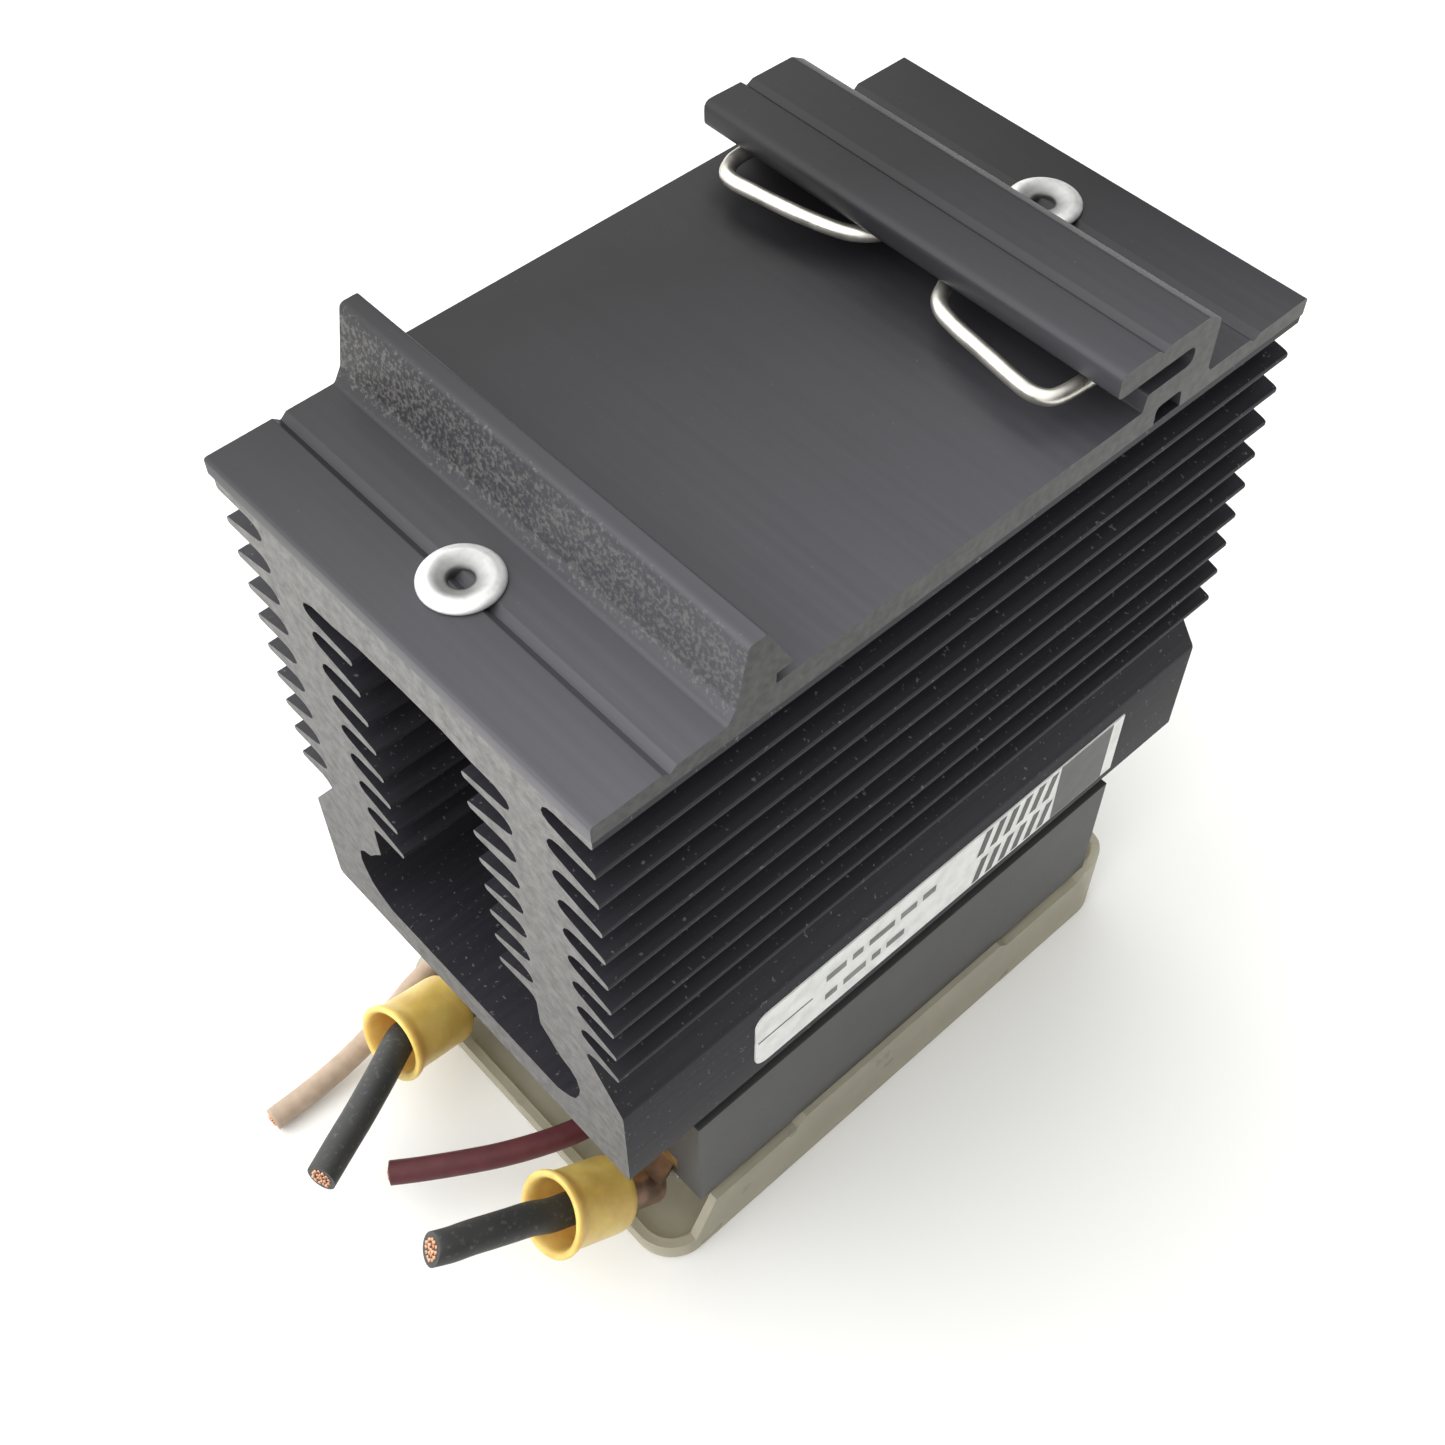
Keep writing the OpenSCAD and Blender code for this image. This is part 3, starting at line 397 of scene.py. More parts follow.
# ---------------------------------------------------------------- Rail plate
# A second black extrusion, lying across the heat sink: two flanges, a fixed hook at the
# wire end and a hollow hook at the far end whose slot holds the spring. Its ends are sawn too.
corners = [
    (-38.1, 85.2, 0.2), (19.0, 85.2, 0.1), (18.9, 87.1, 0.6), (21.9, 87.2, 0.6), (22.2, 85.2, 0.1),
    (38.1, 85.2, 0.2), (38.1, 87.0, 0.35), (31.85, 87.0, 0.25), (31.2, 86.45, 0.1), (30.55, 87.0, 0.25),
    (25.5, 87.0, 0.2), (25.1, 87.5, 0.2), (25.1, 92.6, 0.9), (23.3, 93.6, 0.9), (18.7, 93.65, 0.25),
    (18.0, 93.3, 0.15), (17.3, 93.9, 0.25), (13.1, 94.0, 0.8), (13.1, 91.5, 0.7), (22.4, 91.5, 0.9),
    (22.4, 89.6, 0.9), (17.2, 89.6, 0.3), (16.95, 87.9, 0.15), (-21.5, 87.9, 0.12), (-21.5, 89.0, 0.12),
    (-19.9, 89.0, 0.2), (-22.0, 93.2, 0.3), (-22.4, 93.95, 0.35), (-24.1, 93.95, 0.6), (-25.2, 88.3, 1.2),
    (-26.0, 87.0, 0.5), (-30.55, 87.0, 0.25), (-31.2, 86.45, 0.1), (-31.85, 87.0, 0.25), (-38.1, 87.0, 0.35)]
outline = []
for i, (y, z, r) in enumerate(corners):
    here = Vector((y, z))
    before = Vector(corners[i - 1][:2]) - here
    after = Vector(corners[(i + 1) % len(corners)][:2]) - here
    half = before.angle(after) / 2
    reach = min(r / math.tan(half), 0.45 * before.length, 0.45 * after.length)
    a, b = here + before.normalized() * reach, here + after.normalized() * reach
    for s in range(5):
        t = s / 4
        outline.append((1 - t) ** 2 * a + 2 * t * (1 - t) * here + t * t * b)
bm = bmesh.new()
ends = []
for x in (-23.0, 22.5):
    ends.append([bm.verts.new((x / 1000, q.x / 1000, q.y / 1000)) for q in outline])
for i in range(len(outline)):
    j = (i + 1) % len(outline)
    bm.faces.new((ends[0][i], ends[0][j], ends[1][j], ends[1][i]))
for ring in ends:
    bm.faces.new(ring)
bmesh.ops.recalc_face_normals(bm, faces=bm.faces)
bmesh.ops.triangulate(bm, faces=[f for f in bm.faces if len(f.verts) > 4])
me = bpy.data.meshes.new("hooked_rail_plate")
bm.to_mesh(me)
bm.free()
me.shade_smooth()
me.set_sharp_from_angle(angle=math.radians(32))
plate = bpy.data.objects.new("hooked_rail_plate", me)
bpy.context.collection.objects.link(plate)
mat = bpy.data.materials.new("anodised_plate")
mat.use_nodes = True
nodes, link = mat.node_tree.nodes, mat.node_tree.links.new
skin = nodes["Principled BSDF"]
skin.inputs["Specular IOR Level"].default_value = 0.3
coord = nodes.new("ShaderNodeTexCoord")
facing = nodes.new("ShaderNodeSeparateXYZ")
link(coord.outputs["Normal"], facing.inputs["Vector"])
where = nodes.new("ShaderNodeSeparateXYZ")
link(coord.outputs["Object"], where.inputs["Vector"])
size = nodes.new("ShaderNodeMath")
size.operation = "ABSOLUTE"
link(facing.outputs["X"], size.inputs[0])
cut = nodes.new("ShaderNodeMath")
cut.operation = "GREATER_THAN"
cut.inputs[1].default_value = 0.7
link(size.outputs[0], cut.inputs[0])
stretch = nodes.new("ShaderNodeMapping")
stretch.inputs["Scale"].default_value = (14, 1300, 1300)
link(coord.outputs["Object"], stretch.inputs["Vector"])
drawn = nodes.new("ShaderNodeTexNoise")
drawn.inputs["Scale"].default_value = 1
drawn.inputs["Detail"].default_value = 3
link(stretch.outputs["Vector"], drawn.inputs["Vector"])
dyed = nodes.new("ShaderNodeValToRGB")
dyed.color_ramp.elements[0].color = (0.04, 0.04, 0.046, 1)
dyed.color_ramp.elements[1].color = (0.058, 0.058, 0.067, 1)
link(drawn.outputs["Fac"], dyed.inputs["Fac"])
cloud = nodes.new("ShaderNodeTexNoise")
cloud.inputs["Scale"].default_value = 90
cloud.inputs["Detail"].default_value = 4
link(coord.outputs["Object"], cloud.inputs["Vector"])
# dust lies thick on the fixed hook's outer face and thinly elsewhere
band = nodes.new("ShaderNodeMapRange")
band.inputs["From Min"].default_value = -0.0262
band.inputs["From Max"].default_value = -0.0252
link(where.outputs["Y"], band.inputs["Value"])
past = nodes.new("ShaderNodeMapRange")
past.inputs["From Min"].default_value = -0.0236
past.inputs["From Max"].default_value = -0.0244
link(where.outputs["Y"], past.inputs["Value"])
hook = nodes.new("ShaderNodeMath")
hook.operation = "MULTIPLY"
link(band.outputs["Result"], hook.inputs[0])
link(past.outputs["Result"], hook.inputs[1])
specks = nodes.new("ShaderNodeTexNoise")
specks.inputs["Scale"].default_value = 2600
specks.inputs["Detail"].default_value = 6
specks.inputs["Roughness"].default_value = 0.65
link(coord.outputs["Object"], specks.inputs["Vector"])
limit = nodes.new("ShaderNodeMath")
limit.operation = "MULTIPLY_ADD"
limit.inputs[1].default_value = 0.2
link(hook.outputs[0], limit.inputs[0])
link(specks.outputs["Fac"], limit.inputs[2])
dust = nodes.new("ShaderNodeMapRange")
dust.inputs["From Min"].default_value = 0.67
dust.inputs["From Max"].default_value = 0.78
dust.inputs["To Max"].default_value = 0.5
link(limit.outputs[0], dust.inputs["Value"])
dusty = nodes.new("ShaderNodeMix")
dusty.data_type = "RGBA"
dusty.inputs["B"].default_value = (0.16, 0.155, 0.145, 1)
# painted reflection of the sky: the colour is scaled up towards the label side and the wire end and down away
# from them
painted_sheen_across = nodes.new("ShaderNodeMath")
painted_sheen_across.operation = "MULTIPLY_ADD"
painted_sheen_across.inputs[1].default_value = 24
painted_sheen_across.inputs[2].default_value = 0.58
link(where.outputs["X"], painted_sheen_across.inputs[0])
painted_sheen = nodes.new("ShaderNodeMath")
painted_sheen.operation = "MULTIPLY_ADD"
painted_sheen.inputs[1].default_value = -10.6
link(where.outputs["Y"], painted_sheen.inputs[0])
link(painted_sheen_across.outputs[0], painted_sheen.inputs[2])
painted_sheen_clamp = nodes.new("ShaderNodeClamp")
painted_sheen_clamp.inputs["Min"].default_value = 0.22
painted_sheen_clamp.inputs["Max"].default_value = 1.5
link(painted_sheen.outputs[0], painted_sheen_clamp.inputs["Value"])
# painted sheen applied: the dyed colour times the position factor
painted_sheen_colour = nodes.new("ShaderNodeVectorMath")
painted_sheen_colour.operation = "SCALE"
link(dyed.outputs["Color"], painted_sheen_colour.inputs[0])
link(painted_sheen_clamp.outputs["Result"], painted_sheen_colour.inputs["Scale"])
link(dust.outputs["Result"], dusty.inputs["Factor"])
link(painted_sheen_colour.outputs["Vector"], dusty.inputs["A"])
sawn = nodes.new("ShaderNodeTexNoise")
sawn.inputs["Scale"].default_value = 1300
sawn.inputs["Detail"].default_value = 5
link(coord.outputs["Object"], sawn.inputs["Vector"])
bare = nodes.new("ShaderNodeValToRGB")
bare.color_ramp.elements[0].position = 0.32
bare.color_ramp.elements[0].color = (0.032, 0.032, 0.033, 1)
bare.color_ramp.elements[1].position = 0.7
bare.color_ramp.elements[1].color = (0.068, 0.068, 0.069, 1)
link(sawn.outputs["Fac"], bare.inputs["Fac"])
either = nodes.new("ShaderNodeMix")
either.data_type = "RGBA"
link(cut.outputs[0], either.inputs["Factor"])
link(dusty.outputs["Result"], either.inputs["A"])
link(bare.outputs["Color"], either.inputs["B"])
link(either.outputs["Result"], skin.inputs["Base Color"])
gloss = nodes.new("ShaderNodeMapRange")
gloss.inputs["To Min"].default_value = 0.32
gloss.inputs["To Max"].default_value = 0.5
link(cloud.outputs["Fac"], gloss.inputs["Value"])
link(gloss.outputs["Result"], skin.inputs["Roughness"])
relief = nodes.new("ShaderNodeBump")
relief.inputs["Strength"].default_value = 0.1
relief.inputs["Distance"].default_value = 0.0001
link(drawn.outputs["Fac"], relief.inputs["Height"])
link(relief.outputs["Normal"], skin.inputs["Normal"])
me.materials.append(mat)
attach(plate, "relay")
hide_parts("rail_plate")

# ---------------------------------------------------------------- Rivets
# Two aluminium blind rivets that clamp the plate to the heat sink: dished flange with a
# hollow middle where the pulled stem broke off, and a bulb below the bar.
for name, y in (("rivet_wire_end", -31.2), ("rivet_far_end", 31.2)):
    shape = [(0.95, 78), (1.6, 78), (2.25, 78.7), (2.3, 79.6), (1.9, 80.3), (1.6, 80.5), (1.6, 87.0),
             (3.25, 87.0), (3.35, 87.1), (3.34, 87.25), (3.22, 87.42), (3.0, 87.56), (2.7, 87.7),
             (2.4, 87.77), (2.1, 87.72), (1.8, 87.6), (1.5, 87.45), (1.25, 87.38), (1.08, 87.3),
             (0.98, 87.1), (0.95, 86.8), (0.95, 85)]
    bm = bmesh.new()
    sides = 64
    rings = [[bm.verts.new((r * math.cos(k * math.tau / sides) / 1000,
                            (y + r * math.sin(k * math.tau / sides)) / 1000, z / 1000)) for k in range(sides)]
             for r, z in shape]
    for i in range(len(shape)):
        j = (i + 1) % len(shape)
        for k in range(sides):
            bm.faces.new((rings[i][k], rings[i][(k + 1) % sides], rings[j][(k + 1) % sides], rings[j][k]))
    # the broken stem down in the hollow
    stem = [bm.verts.new((0.93 * math.cos(k * math.tau / 24) / 1000,
                          (y + 0.93 * math.sin(k * math.tau / 24)) / 1000,
                          (86.3 + 0.15 * math.sin(3 * k)) / 1000)) for k in range(24)]
    bm.faces.new(stem)
    bmesh.ops.recalc_face_normals(bm, faces=bm.faces)
    me = bpy.data.meshes.new(name)
    bm.to_mesh(me)
    bm.free()
    me.shade_smooth()
    me.set_sharp_from_angle(angle=math.radians(50))
    rivet = bpy.data.objects.new(name, me)
    bpy.context.collection.objects.link(rivet)
    mat = bpy.data.materials.new(name + "_metal")
    mat.use_nodes = True
    nodes, link = mat.node_tree.nodes, mat.node_tree.links.new
    skin = nodes["Principled BSDF"]
    skin.inputs["Metallic"].default_value = 0.55
    skin.inputs["Roughness"].default_value = 0.4
    coord = nodes.new("ShaderNodeTexCoord")
    scuff = nodes.new("ShaderNodeTexNoise")
    scuff.inputs["Scale"].default_value = 1100
    scuff.inputs["Detail"].default_value = 5
    tone = nodes.new("ShaderNodeValToRGB")
    tone.color_ramp.elements[0].position = 0.3
    tone.color_ramp.elements[0].color = (0.78, 0.78, 0.78, 1)
    tone.color_ramp.elements[1].position = 0.6
    tone.color_ramp.elements[1].color = (0.95, 0.95, 0.94, 1)
    # painted shade: the dish is greyed and the hollow where the stem broke is darkened, as shade falling into
    # the recess
    centred = nodes.new("ShaderNodeMapping")
    centred.inputs["Location"].default_value = (0, -y / 4, 0)
    centred.inputs["Scale"].default_value = (250, 250, 0)
    radius = nodes.new("ShaderNodeVectorMath")
    radius.operation = "LENGTH"
    painted_recess_shade = nodes.new("ShaderNodeValToRGB")
    painted_recess_shade.color_ramp.elements[0].position = 0.25
    painted_recess_shade.color_ramp.elements[0].color = (0.1, 0.1, 0.1, 1)
    painted_recess_shade.color_ramp.elements[1].position = 0.74
    painted_recess_shade.color_ramp.elements[1].color = (1, 1, 1, 1)
    for place, grey in ((0.34, 0.3), (0.56, 0.5)):
        painted_recess_shade.color_ramp.elements.new(place).color = (grey, grey, grey, 1)
    shade = nodes.new("ShaderNodeVectorMath")
    shade.operation = "MULTIPLY"
    lift = nodes.new("ShaderNodeBump")
    lift.inputs["Strength"].default_value = 0.08
    lift.inputs["Distance"].default_value = 0.0001
    link(coord.outputs["Object"], scuff.inputs["Vector"])
    link(scuff.outputs["Fac"], tone.inputs["Fac"])
    link(coord.outputs["Object"], centred.inputs["Vector"])
    link(centred.outputs["Vector"], radius.inputs[0])
    link(radius.outputs["Value"], painted_recess_shade.inputs["Fac"])
    link(tone.outputs["Color"], shade.inputs[0])
    link(painted_recess_shade.outputs["Color"], shade.inputs[1])
    link(shade.outputs["Vector"], skin.inputs["Base Color"])
    link(scuff.outputs["Fac"], lift.inputs["Height"])
    link(lift.outputs["Normal"], skin.inputs["Normal"])
    me.materials.append(mat)
    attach(rivet, "relay")
    if y < 0:
        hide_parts("rivets")

# ---------------------------------------------------------------- Rail spring
# One nickel-plated steel wire, 1.4 mm thick, bent to two loops that stand out of the
# slot in the sprung hook. It slides back into the slot when the rail snaps in.
half = [(0, 17.3), (2.6, 17.0), (3.7, 15.4), (4.3, 13.9), (5.0, 12.6), (6.2, 11.7), (8.6, 11.1),
        (12.0, 10.6), (15.4, 10.1), (17.2, 10.1), (18.4, 11.0), (18.8, 13.7), (18.8, 17.0)]
other = [(-18.9, 17.0), (-19.0, 14.0), (-18.7, 12.2), (-17.4, 10.8), (-14.1, 11.1), (-9.9, 11.8),
         (-6.6, 12.7), (-5.1, 13.5), (-4.1, 14.5), (-3.3, 15.9), (-2.4, 17.0)]
p = [Vector((x, y, 90.55)) for x, y in other + half]
line = []
for i in range(len(p) - 1):
    a, b, c, d = p[max(i - 1, 0)], p[i], p[i + 1], p[min(i + 2, len(p) - 1)]
    for s in range(6):
        t = s / 6
        line.append(0.5 * (2 * b + (c - a) * t + (2 * a - 5 * b + 4 * c - d) * t * t
                           + (3 * b - a - 3 * c + d) * t ** 3))
line.append(p[-1])
bm = bmesh.new()
radius, sides, rings = 0.68, 20, []
over = Vector((0, 0, 1))
for i, q in enumerate(line):
    t = (line[min(i + 1, len(line) - 1)] - line[max(i - 1, 0)]).normalized()
    side = t.cross(over).normalized()
    rings.append([bm.verts.new((q + radius * (math.cos(k * math.tau / sides) * side
                                              + math.sin(k * math.tau / sides) * over)) / 1000)
                  for k in range(sides)])
for i in range(len(line) - 1):
    for k in range(sides):
        bm.faces.new((rings[i][k], rings[i][(k + 1) % sides], rings[i + 1][(k + 1) % sides],
                      rings[i + 1][k])).smooth = True
bm.faces.new(rings[0][::-1])
bm.faces.new(rings[-1])
bmesh.ops.recalc_face_normals(bm, faces=bm.faces)
me = bpy.data.meshes.new("rail_spring_wire")
bm.to_mesh(me)
bm.free()
spring = bpy.data.objects.new("rail_spring_wire", me)
bpy.context.collection.objects.link(spring)
mat = bpy.data.materials.new("nickel_wire")
mat.use_nodes = True
nodes, link = mat.node_tree.nodes, mat.node_tree.links.new
skin = nodes["Principled BSDF"]
skin.inputs["Metallic"].default_value = 0.9
coord = nodes.new("ShaderNodeTexCoord")
tarnish = nodes.new("ShaderNodeTexNoise")
tarnish.inputs["Scale"].default_value = 420
tarnish.inputs["Detail"].default_value = 5
tone = nodes.new("ShaderNodeValToRGB")
tone.color_ramp.elements[0].position = 0.3
tone.color_ramp.elements[0].color = (0.42, 0.4, 0.35, 1)
tone.color_ramp.elements[1].position = 0.6
tone.color_ramp.elements[1].color = (0.74, 0.72, 0.66, 1)
gloss = nodes.new("ShaderNodeMapRange")
gloss.inputs["To Min"].default_value = 0.2
gloss.inputs["To Max"].default_value = 0.42
link(coord.outputs["Object"], tarnish.inputs["Vector"])
link(tarnish.outputs["Fac"], tone.inputs["Fac"])
link(tone.outputs["Color"], skin.inputs["Base Color"])
link(tarnish.outputs["Fac"], gloss.inputs["Value"])
link(gloss.outputs["Result"], skin.inputs["Roughness"])
me.materials.append(mat)
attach(spring, "spring")
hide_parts("rail_spring")

# ---------------------------------------------------------------- Relay base plate and thermal pad
# The relay's 3 mm aluminium base plate lies on a thin grey pad under the heat sink.
# From outside it's a dark line, 1 mm back from the housing's sides.
for node, dark, pale, metal, rough in (
        ("base_plate", (0.2, 0.2, 0.21, 1), (0.34, 0.34, 0.35, 1), 0.85, 0.4),
        ("thermal_pad", (0.3, 0.31, 0.33, 1), (0.42, 0.43, 0.45, 1), 0.0, 0.8)):
    mat = bpy.data.materials.new(node + "_skin")
    mat.use_nodes = True
    nodes, link = mat.node_tree.nodes, mat.node_tree.links.new
    skin = nodes["Principled BSDF"]
    skin.inputs["Metallic"].default_value = metal
    skin.inputs["Roughness"].default_value = rough
    coord = nodes.new("ShaderNodeTexCoord")
    brush = nodes.new("ShaderNodeTexNoise")
    brush.inputs["Scale"].default_value = 600
    brush.inputs["Detail"].default_value = 4
    tone = nodes.new("ShaderNodeValToRGB")
    tone.color_ramp.elements[0].color = dark
    tone.color_ramp.elements[1].color = pale
    link(coord.outputs["Object"], brush.inputs["Vector"])
    link(brush.outputs["Fac"], tone.inputs["Fac"])
    link(tone.outputs["Color"], skin.inputs["Base Color"])
    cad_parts[node].data.materials.clear()
    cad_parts[node].data.materials.append(mat)

# ---------------------------------------------------------------- Relay housing
# Dark grey moulded housing with a notch over each mounting screw and open terminal
# pockets at both ends. Fine spark-eroded grain, slightly shiny.
mat = bpy.data.materials.new("moulded_housing")
mat.use_nodes = True
nodes, link = mat.node_tree.nodes, mat.node_tree.links.new
skin = nodes["Principled BSDF"]
skin.inputs["Roughness"].default_value = 0.45
skin.inputs["Specular IOR Level"].default_value = 0.4
coord = nodes.new("ShaderNodeTexCoord")
grain = nodes.new("ShaderNodeTexNoise")
grain.inputs["Scale"].default_value = 2600
grain.inputs["Detail"].default_value = 3
cloud = nodes.new("ShaderNodeTexNoise")
cloud.inputs["Scale"].default_value = 120
cloud.inputs["Detail"].default_value = 4
tone = nodes.new("ShaderNodeValToRGB")
tone.color_ramp.elements[0].color = (0.038, 0.038, 0.0375, 1)
tone.color_ramp.elements[1].color = (0.06, 0.0595, 0.0585, 1)
edge = nodes.new("ShaderNodeBevel")
edge.samples = 4
edge.inputs["Radius"].default_value = 0.0003
lift = nodes.new("ShaderNodeBump")
lift.inputs["Strength"].default_value = 0.2
lift.inputs["Distance"].default_value = 0.0001
link(coord.outputs["Object"], grain.inputs["Vector"])
link(coord.outputs["Object"], cloud.inputs["Vector"])
link(cloud.outputs["Fac"], tone.inputs["Fac"])
link(tone.outputs["Color"], skin.inputs["Base Color"])
link(grain.outputs["Fac"], lift.inputs["Height"])
link(edge.outputs["Normal"], lift.inputs["Normal"])
link(lift.outputs["Normal"], skin.inputs["Normal"])
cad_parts["relay_housing"].data.materials.clear()
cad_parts["relay_housing"].data.materials.append(mat)

# ---------------------------------------------------------------- Inside the relay
# Ceramic substrate with two chips soldered under the base plate, and a small circuit
# board with the opto-coupler, gate parts and status light. Copper straps lead out.
for node, dark, pale, metal, rough, grain_size in (
        ("ceramic_substrate", (0.78, 0.77, 0.72, 1), (0.9, 0.89, 0.85, 1), 0.0, 0.45, 500),
        ("thyristor_chips", (0.13, 0.14, 0.17, 1), (0.24, 0.25, 0.29, 1), 0.3, 0.25, 900),
        ("circuit_board", (0.02, 0.12, 0.04, 1), (0.05, 0.22, 0.09, 1), 0.0, 0.35, 300),
        ("opto_coupler", (0.75, 0.74, 0.7, 1), (0.88, 0.87, 0.83, 1), 0.0, 0.5, 900),
        ("gate_capacitor", (0.4, 0.17, 0.02, 1), (0.62, 0.3, 0.06, 1), 0.0, 0.3, 600),
        ("gate_resistors", (0.5, 0.38, 0.22, 1), (0.7, 0.58, 0.38, 1), 0.0, 0.4, 800),
        ("load_leads", (0.5, 0.22, 0.1, 1), (0.8, 0.42, 0.24, 1), 0.9, 0.35, 700),
        ("control_leads", (0.5, 0.22, 0.1, 1), (0.8, 0.42, 0.24, 1), 0.9, 0.35, 700)):
    mat = bpy.data.materials.new(node + "_skin")
    mat.use_nodes = True
    nodes, link = mat.node_tree.nodes, mat.node_tree.links.new
    skin = nodes["Principled BSDF"]
    skin.inputs["Metallic"].default_value = metal
    skin.inputs["Roughness"].default_value = rough
    coord = nodes.new("ShaderNodeTexCoord")
    mottle = nodes.new("ShaderNodeTexNoise")
    mottle.inputs["Scale"].default_value = grain_size
    mottle.inputs["Detail"].default_value = 4
    tone = nodes.new("ShaderNodeValToRGB")
    tone.color_ramp.elements[0].color = dark
    tone.color_ramp.elements[1].color = pale
    link(coord.outputs["Object"], mottle.inputs["Vector"])
    link(mottle.outputs["Fac"], tone.inputs["Fac"])
    link(tone.outputs["Color"], skin.inputs["Base Color"])
    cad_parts[node].data.materials.clear()
    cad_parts[node].data.materials.append(mat)

# ---------------------------------------------------------------- Status light
# A 3 mm red light that stands on the board, its dome just through the housing's face.
# Diffused red epoxy.
mat = bpy.data.materials.new("red_epoxy")
mat.use_nodes = True
nodes, link = mat.node_tree.nodes, mat.node_tree.links.new
skin = nodes["Principled BSDF"]
skin.inputs["Roughness"].default_value = 0.2
skin.inputs["Transmission Weight"].default_value = 0.4
coord = nodes.new("ShaderNodeTexCoord")
haze = nodes.new("ShaderNodeTexNoise")
haze.inputs["Scale"].default_value = 900
tone = nodes.new("ShaderNodeValToRGB")
tone.color_ramp.elements[0].color = (0.45, 0.01, 0.008, 1)
tone.color_ramp.elements[1].color = (0.7, 0.04, 0.03, 1)
link(coord.outputs["Object"], haze.inputs["Vector"])
link(haze.outputs["Fac"], tone.inputs["Fac"])
link(tone.outputs["Color"], skin.inputs["Base Color"])
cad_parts["status_led"].data.materials.clear()
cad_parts["status_led"].data.materials.append(mat)

# ---------------------------------------------------------------- Screws, washers and terminal blocks
# Zinc-plated pan-head screws with captive square washers, and brass blocks that they
# screw into. The two mounting screws hold the relay to the heat sink.
for group, dark, pale, rough in (
        (("mounting_screws", "mounting_washers", "load_screw_left", "load_screw_right", "control_screw_left",
          "control_screw_right"), (0.5, 0.5, 0.5, 1), (0.78, 0.78, 0.76, 1), 0.3),
        (("load_clamp_left", "load_clamp_right", "control_clamp_left", "control_clamp_right"),
         (0.46, 0.46, 0.45, 1), (0.7, 0.7, 0.68, 1), 0.38),
        (("load_terminals", "control_terminals"), (0.5, 0.34, 0.13, 1), (0.76, 0.56, 0.25, 1), 0.32)):
    mat = bpy.data.materials.new(group[0] + "_metal")
    mat.use_nodes = True
    nodes, link = mat.node_tree.nodes, mat.node_tree.links.new
    skin = nodes["Principled BSDF"]
    skin.inputs["Metallic"].default_value = 0.95
    skin.inputs["Roughness"].default_value = rough
    coord = nodes.new("ShaderNodeTexCoord")
    plating = nodes.new("ShaderNodeTexNoise")
    plating.inputs["Scale"].default_value = 800
    plating.inputs["Detail"].default_value = 5
    tone = nodes.new("ShaderNodeValToRGB")
    tone.color_ramp.elements[0].position = 0.3
    tone.color_ramp.elements[0].color = dark
    tone.color_ramp.elements[1].position = 0.65
    tone.color_ramp.elements[1].color = pale
    edge = nodes.new("ShaderNodeBevel")
    edge.samples = 4
    edge.inputs["Radius"].default_value = 0.0002
    link(coord.outputs["Object"], plating.inputs["Vector"])
    link(plating.outputs["Fac"], tone.inputs["Fac"])
    link(tone.outputs["Color"], skin.inputs["Base Color"])
    link(edge.outputs["Normal"], skin.inputs["Normal"])
    for node in group:
        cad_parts[node].data.materials.clear()
        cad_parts[node].data.materials.append(mat)

# ---------------------------------------------------------------- Ring and fork terminals
# Copper terminals, browned by heat and handling: rings on the load wires, forks on the
# control wires, each crimped round its strands.
for group, dark, pale in (
        (("ring_terminal_left", "ring_terminal_right"), (0.1, 0.062, 0.042, 1), (0.27, 0.17, 0.12, 1)),
        (("fork_terminal_left", "fork_terminal_right"), (0.3, 0.13, 0.07, 1), (0.58, 0.3, 0.18, 1))):
    mat = bpy.data.materials.new(group[0] + "_copper")
    mat.use_nodes = True
    nodes, link = mat.node_tree.nodes, mat.node_tree.links.new
    skin = nodes["Principled BSDF"]
    skin.inputs["Metallic"].default_value = 0.6
    skin.inputs["Roughness"].default_value = 0.42
    coord = nodes.new("ShaderNodeTexCoord")
    stain = nodes.new("ShaderNodeTexNoise")
    stain.inputs["Scale"].default_value = 380
    stain.inputs["Detail"].default_value = 6
    tone = nodes.new("ShaderNodeValToRGB")
    tone.color_ramp.elements[0].position = 0.35
    tone.color_ramp.elements[0].color = dark
    tone.color_ramp.elements[1].position = 0.65
    tone.color_ramp.elements[1].color = pale
    link(coord.outputs["Object"], stain.inputs["Vector"])
    link(stain.outputs["Fac"], tone.inputs["Fac"])
    link(tone.outputs["Color"], skin.inputs["Base Color"])
    for node in group:
        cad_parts[node].data.materials.clear()
        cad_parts[node].data.materials.append(mat)

